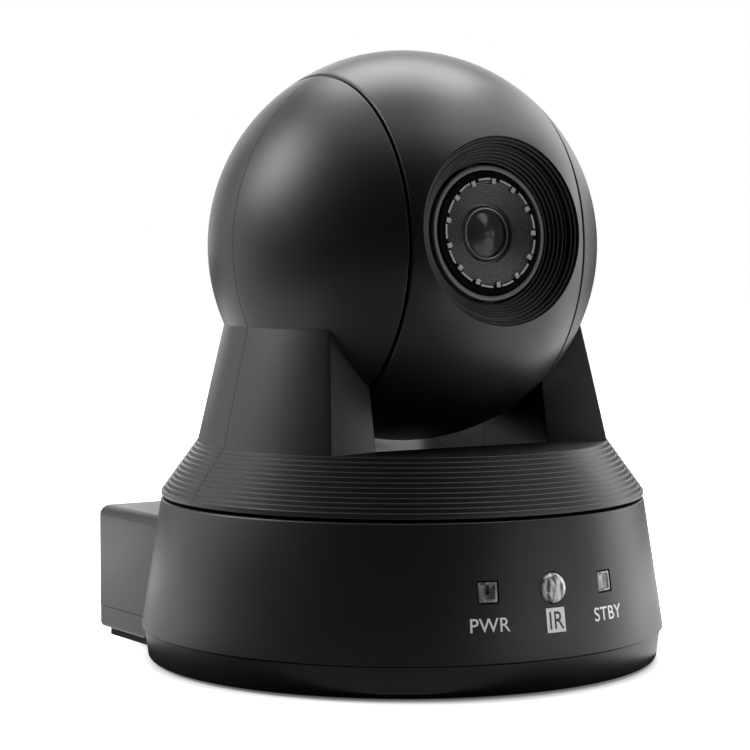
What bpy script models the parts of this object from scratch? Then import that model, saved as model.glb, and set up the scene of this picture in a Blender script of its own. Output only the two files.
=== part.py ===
"""PTZ camera: a tabletop pan, tilt and zoom camera, modelled as separate parts.

The origin is on the pan axis at the resting plane. +Z is up, the lens looks towards -Y
and the connector block is at +Y. All named sizes are in millimetres.
"""
import math

import bmesh
import bpy
from mathutils import Matrix, Vector

MM = 0.001
PART_NAME = "ptz_camera"
CUTTERS_NAME = "cutters"

# Fit and finish
GAP = 0.3                      # clearance kept between neighbouring solids
SLIVER = 0.05                  # keeps the faces of joined solids out of one plane
REACH = 200.0                  # further out than any part, for half spaces
BASE_STEPS = 40
BALL_STEPS = 28
HOLLOW_STEPS = 20
RING_STEPS = 24
SMALL_STEPS = 16
FINE_STEPS = 12

# Base housing, a straight cone on a shallow tray
BASE_RADIUS = 75.0
BASE_TOP_RADIUS = BASE_RADIUS - 5.7
BASE_TOP_Z = 46.1
BASE_LIP = 0.8
SEAM_Z = 9.5
TRAY_BOTTOM_Z = 2.6
TRAY_STEP = 0.5
TRAY_TAPER = 2.5
TRAY_DRAFT = 0.4
TRAY_TURN_IN = 2.2
TRAY_EDGE = 1.5
BASE_WALL = 2.4
DECK_THICKNESS = 2.5

# Connector block behind the base
BLOCK_HALF_WIDTH = 60.0
BLOCK_BACK_Y = BASE_RADIUS + 2.0
BLOCK_TOP_Z = 39.8
BLOCK_EDGE = 3.0
PANEL_MARGIN = 6.5
PANEL_RECESS = 0.8
PANEL_THICKNESS = 1.8
PANEL_SILL = 3.0                # height of the opening above the seam
SOCKET_STANDS_OUT = 0.4

# Foot plate, rubber ring and tripod insert
PLATE_INSET = 6.0
BLOCK_PLATE_INSET = 4.0
PLATE_BACK_INSET = 1.5
FOOT_OUTER_RADIUS = BASE_RADIUS - 9.0
FOOT_WIDTH = 4.5
FOOT_THICKNESS = 1.2
TRIPOD_Y = 18.0
TRIPOD_RADIUS = 3.175
TRIPOD_WALL = 1.9
TRIPOD_DEPTH = 9.0
TRIPOD_LENGTH = 10.5

# Fasteners
SCREW_RADIUS = 1.5
SCREW_HEAD_RADIUS = 2.8
SCREW_HEAD_HEIGHT = 1.4
SCREW_SOCKET_RADIUS = 1.4
SCREW_SOCKET_DEPTH = 0.8
BOSS_RADIUS = 3.6
PILOT_DEPTH = 9.0
FRONT_BOSS = (BASE_RADIUS * 44.0 / 75.0, BASE_RADIUS * -38.0 / 75.0)
REAR_BOSS = (BLOCK_HALF_WIDTH - 9.5, BLOCK_BACK_Y - 17.0)

# Electronics in the base
BOARD_THICKNESS = 1.6
BOARD_HALF_WIDTH = 45.0
BOARD_FRONT_Y = 29.0
BOARD_Z = 15.0
STANDOFF_RADIUS = 2.5
STANDOFF_INSET = 5.0

# Front indicators on the base cone
INDICATOR_Z = 28.0
INDICATOR_ANGLE = 15.4
WINDOW_SIZE = 5.4
WINDOW_STANDS_OUT = 0.15
RECEIVER_RADIUS = 4.0
RECEIVER_DOME = 1.7
INDICATOR_BOARD_SIZE = (52.0, 1.2, 12.0)
INDICATOR_BOARD_BACK = 10.0
LED_RADIUS = 1.5
LED_LENGTH = 3.0

# Pan bearing and drive
COLLAR_RADIUS = 31.0
COLLAR_WALL = 3.0
COLLAR_DROP = 10.0
BEARING_HEIGHT = 7.6
OUTER_RACE_WALL = 5.5
INNER_RACE_WALL = 4.4
HUB_BORE_RADIUS = 12.0
HUB_FLANGE_RADIUS = 34.0
HUB_FLANGE_THICKNESS = 2.0
DECK_CLEARANCE = 1.2
PAN_MODULE = 1.5
TILT_MODULE = 1.25
WHEEL_TEETH = 36
PINION_TEETH = 14
GEAR_THICKNESS = 4.2
TILT_GEAR_THICKNESS = 3.5
GEAR_ADDENDUM = 0.8             # in modules
GEAR_DEDENDUM = 1.05
GEAR_DROP = 1.0
BACKLASH = 0.40
PRESSURE_ANGLE = math.radians(25.0)
PAN_MOTOR_ANGLE = math.radians(-150.0)
PAN_MOTOR_RADIUS = 17.0
PAN_MOTOR_BOTTOM_Z = 5.6
MOTOR_BOSS_RADIUS = 6.0
MOTOR_BOSS_HEIGHT = 2.2
MOTOR_SHAFT_RADIUS = 2.4
PAN_SHAFT_IN_MOTOR = 8.0
TILT_SHAFT_IN_MOTOR = 5.0
MOTOR_BELOW_GEAR = 0.8
SHAFT_PAST_GEAR = 0.6

# Yoke: a ribbed skirt that carries two arms with ball caps
SKIRT_BOTTOM_Z = 46.9
SKIRT_EDGE_Z = 48.5
SKIRT_RADIUS = BASE_TOP_RADIUS - 0.1
SKIRT_TOP_RADIUS = SKIRT_RADIUS - 9.9
SKIRT_TOP_Z = 62.2
BALL_RADIUS = 55.8
BALL_Z = SKIRT_TOP_Z + BALL_RADIUS - 0.3
TROUGH_RADIUS = BALL_RADIUS + 7.7
YOKE_WALL = 2.3
ARM_TOP_RADIUS = BALL_RADIUS - 4.7
ARM_TOP_Z = BALL_Z - 22.3
ARM_FACE_Y = 31.1              # half depth of an arm at its inner foot
ARM_FACE_PLAN = 0.29           # how fast that face runs back with distance from the centre
ARM_FACE_LEAN = 0.185          # how fast it leans in with height
CAP_FACE_X = 29.0
AXLE_HOLE_RADIUS = 9.0

# Ball head
HEAD_GAP = 0.7
HEAD_WALL = 2.4
HEAD_SPLIT_Y = 12.0
REST_TILT = math.radians(4.86)

# Tilt axle, bushes and frame
AXLE_RADIUS = 6.0
AXLE_FLANGE_RADIUS = 10.0
AXLE_FLANGE_THICKNESS = 2.0
BUSH_RADIUS = 8.6
BUSH_FLANGE_RADIUS = 10.4
BUSH_FLANGE = 0.9
FRAME_SHEET = 1.6
FRAME_HALF_DEPTH = 18.0
FRAME_BASE_HALF_DEPTH = 22.0
FRAME_TOP_ABOVE_AXIS = 13.0
FRAME_BASE_THICKNESS = 2.0
TILT_MOTOR_RADIUS = 10.5
TILT_MOTOR_LENGTH = 7.9
MOTOR_EAR_HALF_LENGTH = 15.5
MOTOR_EAR_HALF_WIDTH = 4.0
MOTOR_EAR_THICKNESS = 1.5
MOTOR_POST_RADIUS = 2.0
MOTOR_POST_Y = 13.0
HUB_SCREW_X = 14.0
HUB_SCREW_Y = 18.5

# Lens, with distances along the lens axis from the ball centre
RIM_RADIUS = 25.7
FUNNEL_RADIUS = 19.3
FUNNEL_D = BALL_RADIUS - 13.4
FUNNEL_WALL = 2.0
FUNNEL_FLOOR_D = FUNNEL_D - 4.4
FUNNEL_STEPS = 3
TRIM_RADIUS = 18.9
TRIM_INNER_RADIUS = 17.0
TRIM_D = FUNNEL_D + 0.8
TRIM_EDGE = 0.4
BARREL_RADIUS = 16.7
BARREL_FRONT_D = TRIM_D - 1.7
BARREL_BACK_D = FUNNEL_FLOOR_D - 8.0
BARREL_WALL = 2.6
BEZEL_RADIUS = 8.1
BEZEL_D = TRIM_D - 0.8
BARREL_DISH = 0.8
GLASS_RADIUS = 6.2
GLASS_D = TRIM_D - 1.2
GLASS_SEAT_WIDTH = 1.5
GLASS_THICKNESS = 2.4
GLASS_CROWN = 0.7
LENS_TUBE_RADIUS = 15.8
LENS_TUBE_BORE = 13.0
LENS_TUBE_BACK_D = -16.0
LENS_TUBE_FLOOR = 2.0
SENSOR_HOLE_RADIUS = 7.0
ZOOM_GROUP_D = 14.0
FOCUS_GROUP_D = -6.0
LENS_GROUP_THICKNESS = 5.0
GROUP_HUB_RADIUS = 9.0
GROUP_HUB_RISE = 1.5
SENSOR_BOARD_SIZE = (30.0, 1.6, 30.0)
SENSOR_SIZE = (9.0, 1.2, 7.0)

# Head chassis and its screws
CHASSIS_SHEET = 1.8
CHASSIS_FRONT_Y = -26.0
CHASSIS_BACK_Y = 30.0
CHASSIS_CHEEK_HALF = 14.0
TAB_HALF_WIDTH = 5.0
TAB_HEIGHT = 11.0
HEAD_SCREW_X = 16.0
HEAD_SCREW_Z = -13.0
HEAD_SCREW_SEAT_Y = BALL_RADIUS - 11.8
HEAD_BOSS_RADIUS = 4.8

# Sockets on the main board: name, centre x, width, height, depth, mouth width, mouth height
MOUTH_DEPTH = 5.0
SOCKET_DEPTH = 13.0
SOCKET_LIFT = 0.3
BOXED_SOCKETS = (
    ("lan_socket", -20.0, 16.0, 13.4, 20.0, 11.8, 8.2),
    ("hdmi_socket", 0.0, 16.0, 6.6, 13.0, 14.0, 4.7),
    ("usb_socket", 19.5, 14.6, 7.2, 14.0, 12.5, 5.2),
)
ROUND_SOCKETS = (
    ("dc_jack", -37.5, 9.4, 11.0, 14.0, 3.2),
    ("serial_socket", 36.5, 14.0, 13.0, 13.0, 4.7),
)
PIN_RADIUS = 1.0


# ---------------------------------------------------------------- scene and materials

def clear_scene():
    """Start from nothing."""
    for obj in list(bpy.data.objects):
        bpy.data.objects.remove(obj, do_unlink=True)


def new_collection(name):
    """A collection in the scene."""
    collection = bpy.data.collections.new(name)
    bpy.context.scene.collection.children.link(collection)
    return collection


def make_material(name, colour, roughness, metallic=0.0, alpha=1.0):
    """A plain Principled material."""
    material = bpy.data.materials.new(name)
    material.use_nodes = True
    shader = material.node_tree.nodes["Principled BSDF"]
    shader.inputs["Base Color"].default_value = (*colour, 1.0)
    shader.inputs["Roughness"].default_value = roughness
    shader.inputs["Metallic"].default_value = metallic
    shader.inputs["Alpha"].default_value = alpha
    return material


clear_scene()
PARTS = new_collection(PART_NAME)
CUTTERS = new_collection(CUTTERS_NAME)

BLACK_ABS = make_material("black_abs", (0.028, 0.028, 0.030), 0.45)
BLACK_PC = make_material("black_polycarbonate", (0.018, 0.018, 0.020), 0.35)
GREY_ACRYLIC = make_material("grey_acrylic", (0.42, 0.42, 0.40), 0.25)
CLEAR_ACRYLIC = make_material("smoked_acrylic", (0.10, 0.09, 0.10), 0.08)
SATIN_RING = make_material("satin_ring", (0.30, 0.30, 0.31), 0.35, 0.8)
COATED_GLASS = make_material("coated_glass", (0.05, 0.03, 0.06), 0.03)
STEEL = make_material("zinc_steel", (0.55, 0.55, 0.56), 0.35, 1.0)
PAINTED_STEEL = make_material("painted_steel", (0.020, 0.020, 0.022), 0.55)
BRASS = make_material("brass", (0.70, 0.52, 0.25), 0.30, 1.0)
RUBBER = make_material("rubber", (0.02, 0.02, 0.02), 0.85)
BOARD = make_material("circuit_board", (0.02, 0.12, 0.06), 0.45)
ACETAL = make_material("white_acetal", (0.75, 0.74, 0.70), 0.40)


# ---------------------------------------------------------------- building blocks

def new_object(name, mesh, material=None, place=None, parent=None, is_part=False):
    """An object with its mesh, put at a place given as a 4 x 4 matrix in its parent's frame."""
    obj = bpy.data.objects.new(name, mesh)
    if is_part:
        PARTS.objects.link(obj)
    else:
        CUTTERS.objects.link(obj)
        obj.hide_render = True
        obj.display_type = "WIRE"
    if material is not None:
        mesh.materials.append(material)
    if parent is not None:
        obj.parent = parent
    obj.matrix_local = place if place is not None else Matrix.Identity(4)
    return obj


def mesh_from(name, work):
    """Finish a bmesh into a mesh with smooth faces and sharp edges."""
    mesh = bpy.data.meshes.new(name)
    bmesh.ops.recalc_face_normals(work, faces=work.faces[:])
    work.to_mesh(mesh)
    work.free()
    mesh.shade_smooth()
    mesh.set_sharp_from_angle(angle=math.radians(32.0))
    return mesh


def block(name, low, high, edge=0.0, **options):
    """A box between two corners in millimetres, with its edges rounded if wanted."""
    low, high = Vector(low) * MM, Vector(high) * MM
    work = bmesh.new()
    size = Matrix.Diagonal((*(high - low), 1.0))
    bmesh.ops.create_cube(work, size=1.0, matrix=Matrix.Translation((low + high) / 2) @ size)
    obj = new_object(name, mesh_from(name, work), **options)
    if edge:
        bevel = obj.modifiers.new("edges", "BEVEL")
        bevel.width = edge * MM
        bevel.segments = 3
    return obj


def rod(name, radius, low, high, steps=SMALL_STEPS, centre=(0.0, 0.0), **options):
    """A cylinder along Z from low to high, centred on the given x and y."""
    work = bmesh.new()
    middle = Vector((centre[0], centre[1], (low + high) / 2)) * MM
    bmesh.ops.create_cone(work, cap_ends=True, segments=steps, radius1=radius * MM,
                          radius2=radius * MM, depth=(high - low) * MM,
                          matrix=Matrix.Translation(middle))
    return new_object(name, mesh_from(name, work), **options)


def runs_down_outside(profile):
    """True where a closed outline in (radius, height) runs down its outer side."""
    area = 0.0
    for (r1, z1), (r2, z2) in zip(profile, profile[1:] + profile[:1]):
        area += r1 * z2 - r2 * z1
    return area < 0.0


def turned(name, profile, steps=BASE_STEPS, **options):
    """A turned solid about Z: a closed outline of (radius, height) points with a Screw."""
    if not runs_down_outside(profile):
        profile = profile[::-1]
    if any(radius == 0.0 for radius, _ in profile):
        start = max((i for i, p in enumerate(profile) if p[0] == 0.0), key=lambda i: profile[i][1])
        profile = profile[start:] + profile[:start]
    mesh = bpy.data.meshes.new(name)
    points = [(radius * MM, 0.0, height * MM) for radius, height in profile]
    edges = [(i, i + 1) for i in range(len(points) - 1)]
    if profile[0][0] != 0.0:
        edges.append((len(points) - 1, 0))
    mesh.from_pydata(points, edges, [])
    obj = new_object(name, mesh, **options)
    screw = obj.modifiers.new("turn", "SCREW")
    screw.steps = steps
    screw.render_steps = steps
    screw.use_merge_vertices = True
    screw.merge_threshold = 0.00001
    screw.use_smooth_shade = True
    return obj


def flat_plate(name, outline, low, high, **options):
    """A flat outline in x and y, thickened upwards from low to high."""
    work = bmesh.new()
    corners = [work.verts.new((x * MM, y * MM, low * MM)) for x, y in outline]
    work.faces.new(corners)
    work.normal_update()
    if work.faces[:][0].normal.z < 0.0:
        bmesh.ops.reverse_faces(work, faces=work.faces[:])
    mesh = bpy.data.meshes.new(name)
    work.to_mesh(mesh)
    work.free()
    obj = new_object(name, mesh, **options)
    solid = obj.modifiers.new("thickness", "SOLIDIFY")
    solid.thickness = (high - low) * MM
    solid.offset = 1.0
    return obj


def combine(target, other, operation):
    """Join, cut or keep the common part, with an exact Boolean."""
    boolean = target.modifiers.new(other.name, "BOOLEAN")
    boolean.object = other
    boolean.operation = operation
    boolean.solver = "EXACT"


def join(target, *others):
    """Unite solids into the target."""
    for other in others:
        combine(target, other, "UNION")


def cut(target, *others):
    """Take solids away from the target."""
    for other in others:
        combine(target, other, "DIFFERENCE")


def keep(target, other):
    """Keep only what the target shares with the other solid."""
    combine(target, other, "INTERSECT")


def part(name, material, maker, *args, **options):
    """One named piece of the camera."""
    return maker(name, *args, material=material, is_part=True, **options)


def along(direction, origin=(0.0, 0.0, 0.0)):
    """The placement that turns local +Z to a direction, at an origin in millimetres."""
    turn = Vector(direction).to_track_quat("Z", "Y").to_matrix().to_4x4()
    return Matrix.Translation(Vector(origin) * MM) @ turn


def at(x, y, z):
    """A plain shift in millimetres."""
    return Matrix.Translation(Vector((x, y, z)) * MM)


def cone_radius(z):
    """Outer radius of the base cone at a height."""
    share = (z - SEAM_Z) / (BASE_TOP_Z - SEAM_Z)
    return BASE_RADIUS + (BASE_TOP_RADIUS - BASE_RADIUS) * share


def arm_radius(z):
    """Outer radius of the arms at a height."""
    share = (z - SKIRT_TOP_Z) / (ARM_TOP_Z - SKIRT_TOP_Z)
    return SKIRT_TOP_RADIUS + (ARM_TOP_RADIUS - SKIRT_TOP_RADIUS) * share


def on_base_cone(degrees):
    """The frame on the base cone at an angle from the front: local +Z is the outward normal."""
    angle = math.radians(degrees)
    slope = math.atan2(BASE_RADIUS - BASE_TOP_RADIUS, BASE_TOP_Z - SEAM_Z)
    radius = cone_radius(INDICATOR_Z)
    outward = Vector((math.sin(angle) * math.cos(slope), -math.cos(angle) * math.cos(slope),
                      math.sin(slope)))
    side = Vector((math.cos(angle), math.sin(angle), 0.0))
    up = outward.cross(side)
    turn = Matrix((side, up, outward)).transposed().to_4x4()
    spot = (math.sin(angle) * radius, -math.cos(angle) * radius, INDICATOR_Z)
    return at(*spot) @ turn


# ---------------------------------------------------------------- base

def housing_solid(name, inset, low, cone_top, block_top):
    """The base's outer form as a part, or its hollow when it is inset."""
    outside = inset == 0.0
    lip = BASE_LIP if outside else 0.0
    edge = BLOCK_EDGE if outside else 0.0
    top_radius = cone_radius(cone_top) - inset
    profile = [(0.0, cone_top), (top_radius - lip, cone_top)]
    if outside:
        profile.append((top_radius, cone_top - lip))
    profile += [(cone_radius(low) - inset, low), (0.0, low)]
    body = turned(name, profile, material=BLACK_ABS, is_part=outside)
    half = BLOCK_HALF_WIDTH - inset
    back = BLOCK_BACK_Y - inset
    box = block(name + "_block", (-half, 0.0, low - 2 * edge), (half, back, block_top), edge)
    if outside:
        cut(box, block(name + "_trim", (-half - 1, -1.0, low - 3 * edge), (half + 1, back + 1, low)))
    join(body, box)
    return body


def make_base_housing():
    """Upper base cover: cone, deck, bearing collar, connector block and screw bosses."""
    housing = housing_solid("base_housing", 0.0, SEAM_Z, BASE_TOP_Z, BLOCK_TOP_Z)
    cut(housing, housing_solid("housing_hollow", BASE_WALL, SEAM_Z - 1.0,
                               BASE_TOP_Z - DECK_THICKNESS, BLOCK_TOP_Z - BASE_WALL))
    join(housing, rod("housing_collar", COLLAR_RADIUS + COLLAR_WALL, BASE_TOP_Z - COLLAR_DROP,
                      BASE_TOP_Z - 0.5, BASE_STEPS))
    for number, (x, y, top) in enumerate(boss_places()):
        join(housing, rod("housing_boss_%d" % number, BOSS_RADIUS, SEAM_Z, top + 1.0,
                          FINE_STEPS, (x, y)))
        cut(housing, rod("housing_pilot_%d" % number, SCREW_RADIUS + GAP, SEAM_Z - 1.0,
                         SEAM_Z + PILOT_DEPTH, FINE_STEPS, (x, y)))
    cut(housing, rod("housing_bearing_hole", COLLAR_RADIUS, BASE_TOP_Z - COLLAR_DROP - 1,
                     BASE_TOP_Z + 1, BASE_STEPS))
    for side in (-1, 1):
        hole = WINDOW_SIZE / 2 + GAP
        cut(housing, block("window_hole_%d" % side, (-hole, -hole, -BASE_WALL - 2), (hole, hole, 2),
                           place=on_base_cone(side * INDICATOR_ANGLE)))
    cut(housing, rod("receiver_hole", RECEIVER_RADIUS + GAP, -BASE_WALL - 2, 2, SMALL_STEPS,
                     place=on_base_cone(0.0)))
    low, high = panel_corners(0.0)
    cut(housing, block("panel_opening", (low[0], BLOCK_BACK_Y - 2 * BASE_WALL, low[1]),
                       (high[0], BLOCK_BACK_Y + 1, high[1])))


def boss_places():
    """Where the four base screws go, and how high their bosses reach."""
    deck = BASE_TOP_Z - DECK_THICKNESS
    roof = BLOCK_TOP_Z - BASE_WALL
    places = []
    for side in (-1, 1):
        places.append((side * FRONT_BOSS[0], FRONT_BOSS[1], deck))
        places.append((side * REAR_BOSS[0], REAR_BOSS[1], roof))
    return places


def panel_corners(inset):
    """Low and high corners of the rear panel opening, as (x, z)."""
    half = BLOCK_HALF_WIDTH - PANEL_MARGIN - inset
    return (-half, SEAM_Z + PANEL_SILL + inset), (half, BLOCK_TOP_Z - PANEL_MARGIN - inset)


def make_bottom_tray():
    """Lower base cover, a shallow tub with board standoffs."""
    top = SEAM_Z - GAP
    top_radius = BASE_RADIUS - TRAY_STEP
    low_radius = top_radius - TRAY_TAPER
    floor = TRAY_BOTTOM_Z + BASE_WALL
    turn_z = TRAY_BOTTOM_Z + TRAY_TURN_IN
    above = top + 2 * BLOCK_EDGE
    tray = part("bottom_tray", BLACK_ABS, turned, [
        (0.0, above), (top_radius, above), (top_radius, top), (top_radius - TRAY_DRAFT, turn_z),
        (low_radius, TRAY_BOTTOM_Z), (0.0, TRAY_BOTTOM_Z)])
    half = BLOCK_HALF_WIDTH - TRAY_STEP
    back = BLOCK_BACK_Y - TRAY_STEP
    join(tray, block("tray_block", (-half, 0.0, TRAY_BOTTOM_Z + SLIVER),
                     (half, back, above + BLOCK_EDGE), TRAY_EDGE))
    cut(tray, block("tray_trim", (-REACH, -REACH, top), (REACH, REACH, REACH)))
    hollow = turned("tray_hollow", [
        (0.0, above), (top_radius - BASE_WALL, above), (low_radius - BASE_WALL, floor),
        (0.0, floor)])
    join(hollow, block("tray_hollow_block", (BASE_WALL - half, 0.0, floor + SLIVER),
                       (half - BASE_WALL, back - BASE_WALL, above + 1)))
    cut(tray, hollow)
    for number, (x, y) in enumerate(standoff_places()):
        join(tray, rod("standoff_%d" % number, STANDOFF_RADIUS, floor - 0.5, BOARD_Z - GAP,
                       FINE_STEPS, (x, y)))
    for number, (x, y, _) in enumerate(boss_places()):
        cut(tray, rod("tray_hole_%d" % number, SCREW_RADIUS + GAP, 0.0, floor + 1, FINE_STEPS,
                      (x, y)))
    cut(tray, rod("tray_tripod_hole", TRIPOD_RADIUS + TRIPOD_WALL + GAP, 0.0, floor + 1,
                  SMALL_STEPS, (0.0, TRIPOD_Y)))


def standoff_places():
    """Corners where the main board rests."""
    x = BOARD_HALF_WIDTH - STANDOFF_INSET
    front = BOARD_FRONT_Y + STANDOFF_INSET
    back = board_back_y() - STANDOFF_INSET - SOCKET_DEPTH
    return [(side * x, y) for side in (-1, 1) for y in (front, back)]


def board_back_y():
    """Rear edge of the main board, just inside the panel."""
    return BLOCK_BACK_Y - PANEL_RECESS - PANEL_THICKNESS - GAP


def make_bottom_plate():
    """Steel foot plate with a groove for the rubber ring, a tripod hole and screw seats."""
    top = TRAY_BOTTOM_Z - GAP
    plate = part("bottom_plate", PAINTED_STEEL, flat_plate, foot_plate_outline(), 0.0, top)
    groove_inner = FOOT_OUTER_RADIUS - FOOT_WIDTH - GAP
    cut(plate, turned("foot_groove", [
        (groove_inner, FOOT_THICKNESS + GAP), (FOOT_OUTER_RADIUS + GAP, FOOT_THICKNESS + GAP),
        (FOOT_OUTER_RADIUS + GAP, -1.0), (groove_inner, -1.0)]))
    cut(plate, rod("plate_tripod_hole", TRIPOD_RADIUS + TRIPOD_WALL + GAP, -1.0, top + 1,
                   SMALL_STEPS, (0.0, TRIPOD_Y)))
    for number, (x, y, _) in enumerate(boss_places()):
        cut(plate, rod("plate_hole_%d" % number, SCREW_RADIUS + GAP, -1.0, top + 1, FINE_STEPS,
                       (x, y)))
        cut(plate, rod("plate_seat_%d" % number, SCREW_HEAD_RADIUS + GAP, -1.0,
                       SCREW_HEAD_HEIGHT + GAP, FINE_STEPS, (x, y)))


def foot_plate_outline():
    """A round front that runs into a straight-sided back under the connector block."""
    radius = BASE_RADIUS - PLATE_INSET
    half = BLOCK_HALF_WIDTH - BLOCK_PLATE_INSET
    start = math.acos(half / radius)
    sweep = math.pi + 2 * start
    outline = [(radius * math.cos(start - sweep * i / BASE_STEPS),
                radius * math.sin(start - sweep * i / BASE_STEPS)) for i in range(BASE_STEPS + 1)]
    back = BLOCK_BACK_Y - PLATE_BACK_INSET
    return outline + [(-half, back), (half, back)]


def make_foot_ring():
    """Rubber ring that grips the table."""
    inner = FOOT_OUTER_RADIUS - FOOT_WIDTH
    part("foot_ring", RUBBER, turned, [
        (inner, FOOT_THICKNESS), (FOOT_OUTER_RADIUS, FOOT_THICKNESS),
        (FOOT_OUTER_RADIUS, 0.0), (inner, 0.0)])


def make_tripod_insert():
    """Threaded brass insert, drawn with a plain bore."""
    insert = part("tripod_insert", BRASS, rod, TRIPOD_RADIUS + TRIPOD_WALL, 0.0, TRIPOD_LENGTH,
                  SMALL_STEPS, (0.0, TRIPOD_Y))
    cut(insert, rod("tripod_bore", TRIPOD_RADIUS, -1.0, TRIPOD_DEPTH, SMALL_STEPS,
                    (0.0, TRIPOD_Y)))


def screw(name, length, place, parent=None):
    """A pan head screw along local +Z, with its head at the origin."""
    body = part(name, STEEL, turned, [
        (0.0, length), (SCREW_RADIUS, length), (SCREW_RADIUS, SCREW_HEAD_HEIGHT),
        (SCREW_HEAD_RADIUS, SCREW_HEAD_HEIGHT), (SCREW_HEAD_RADIUS, 0.0), (0.0, 0.0)],
        steps=FINE_STEPS, place=place, parent=parent)
    cut(body, rod(name + "_socket", SCREW_SOCKET_RADIUS, -1.0, SCREW_SOCKET_DEPTH, 6,
                  place=place, parent=parent))


def make_tray_screws():
    """Four screws that hold plate, tray and housing together."""
    for number, (x, y, _) in enumerate(boss_places(), start=1):
        screw("tray_screw_%d" % number, SEAM_Z + 7.0, at(x, y, 0.2))


def make_rear_panel():
    """Connector panel with an opening for each socket."""
    low, high = panel_corners(GAP)
    back = BLOCK_BACK_Y - PANEL_RECESS
    front = back - PANEL_THICKNESS
    panel = part("rear_panel", BLACK_PC, block, (low[0], front, low[1]), (high[0], back, high[1]))
    base = socket_base_z()
    for name, x, width, height, *_ in BOXED_SOCKETS + ROUND_SOCKETS:
        half = width / 2 + GAP
        cut(panel, block(name + "_opening", (x - half, front - 1, base - GAP),
                         (x + half, back + 1, base + height + GAP)))


def socket_base_z():
    """Underside of the sockets, just above the main board."""
    return BOARD_Z + BOARD_THICKNESS + SOCKET_LIFT


def make_sockets():
    """The sockets, each a body with a blind mouth facing the rear."""
    back = BLOCK_BACK_Y - PANEL_RECESS + SOCKET_STANDS_OUT
    base = socket_base_z()
    for name, x, width, height, depth, mouth_width, mouth_height in BOXED_SOCKETS:
        body = part(name, STEEL, block, (x - width / 2, back - depth, base),
                    (x + width / 2, back, base + height))
        middle = base + height / 2
        cut(body, block(name + "_mouth", (x - mouth_width / 2, back - depth + 2.0,
                                          middle - mouth_height / 2),
                        (x + mouth_width / 2, back + 1, middle + mouth_height / 2)))
        join(body, block(name + "_tongue", (x - mouth_width * 0.4, back - depth + 1.0, middle - 0.6),
                         (x + mouth_width * 0.4, back - MOUTH_DEPTH, middle + 0.6)))
    for name, x, width, height, depth, mouth_radius in ROUND_SOCKETS:
        body = part(name, BLACK_PC, block, (x - width / 2, back - depth, base),
                    (x + width / 2, back, base + height))
        axis = along((0, 1, 0), (x, back, base + height / 2))
        cut(body, rod(name + "_mouth", mouth_radius, 2.0 - depth, 1.0, SMALL_STEPS, place=axis))
        join(body, rod(name + "_pin", PIN_RADIUS, 1.0 - depth, -MOUTH_DEPTH, FINE_STEPS,
                       place=axis))


def make_main_board():
    """Main circuit board."""
    part("main_board", BOARD, block, (-BOARD_HALF_WIDTH, BOARD_FRONT_Y, BOARD_Z),
         (BOARD_HALF_WIDTH, board_back_y(), BOARD_Z + BOARD_THICKNESS))


def make_indicators():
    """Windows in the base cone, with the lamps and the receiver behind them."""
    half = WINDOW_SIZE / 2
    for name, side in (("power_window", -1), ("standby_window", 1)):
        part(name, GREY_ACRYLIC, block, (-half, -half, -BASE_WALL), (half, half, WINDOW_STANDS_OUT),
             place=on_base_cone(side * INDICATOR_ANGLE))
    dome = [(RECEIVER_RADIUS * math.cos(a), RECEIVER_DOME * math.sin(a))
            for a in (math.radians(90.0 * i / 5) for i in range(6))]
    dome[-1] = (0.0, RECEIVER_DOME)
    part("receiver_window", CLEAR_ACRYLIC, turned,
         dome[::-1] + [(RECEIVER_RADIUS, -BASE_WALL), (0.0, -BASE_WALL)],
         steps=SMALL_STEPS, place=on_base_cone(0.0))
    width, thickness, height = INDICATOR_BOARD_SIZE
    board_y = -cone_radius(INDICATOR_Z) + INDICATOR_BOARD_BACK
    part("indicator_board", BOARD, block, (-width / 2, board_y, INDICATOR_Z - height / 2),
         (width / 2, board_y + thickness, INDICATOR_Z + height / 2))
    window_x = cone_radius(INDICATOR_Z) * math.sin(math.radians(INDICATOR_ANGLE))
    for name, x in (("power_led", -window_x), ("standby_led", window_x)):
        part(name, GREY_ACRYLIC, rod, LED_RADIUS, GAP, GAP + LED_LENGTH, FINE_STEPS,
             place=along((0, -1, 0), (x, board_y, INDICATOR_Z)))
    part("ir_receiver", BLACK_PC, block, (-2.5, board_y - GAP - 4.0, INDICATOR_Z - 3.0),
         (2.5, board_y - GAP, INDICATOR_Z + 3.0))


# ---------------------------------------------------------------- gears and pan drive

def involute_angle(radius, base_radius):
    """Involute function of the pressure angle at a radius."""
    pressure = math.acos(min(1.0, base_radius / radius))
    return math.tan(pressure) - pressure


def gear_outline(teeth, module, turn):
    """Outline of a spur gear with stub involute teeth; a tooth is centred on the turn angle."""
    pitch = teeth * module / 2
    base = pitch * math.cos(PRESSURE_ANGLE)
    tip = pitch + GEAR_ADDENDUM * module
    root = pitch - GEAR_DEDENDUM * module
    half_tooth = math.pi / (2 * teeth) - BACKLASH / (2 * pitch)
    flank = []
    for radius in (root, pitch, tip):
        angle = half_tooth + involute_angle(pitch, base) - involute_angle(max(radius, base), base)
        flank.append((radius, angle))
    outline = []
    for tooth in range(teeth):
        middle = turn + 2 * math.pi * tooth / teeth
        side = [(radius, -angle) for radius, angle in flank]
        side += [(radius, angle) for radius, angle in flank[::-1]]
        outline += [(radius * math.cos(middle + a), radius * math.sin(middle + a))
                    for radius, a in side]
    return outline


def gear(name, teeth, module, turn, bore, low, high, **options):
    """A spur gear about local Z with a plain bore."""
    wheel = part(name, ACETAL, flat_plate, gear_outline(teeth, module, turn), low, high, **options)
    place = options.get("place")
    steps = RING_STEPS if bore > AXLE_RADIUS + GAP else FINE_STEPS
    cut(wheel, rod(name + "_bore", bore, low - 1, high + 1, steps, place=place))


def centre_distance(module):
    """Distance between a wheel and its pinion."""
    return module * (WHEEL_TEETH + PINION_TEETH) / 2


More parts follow.
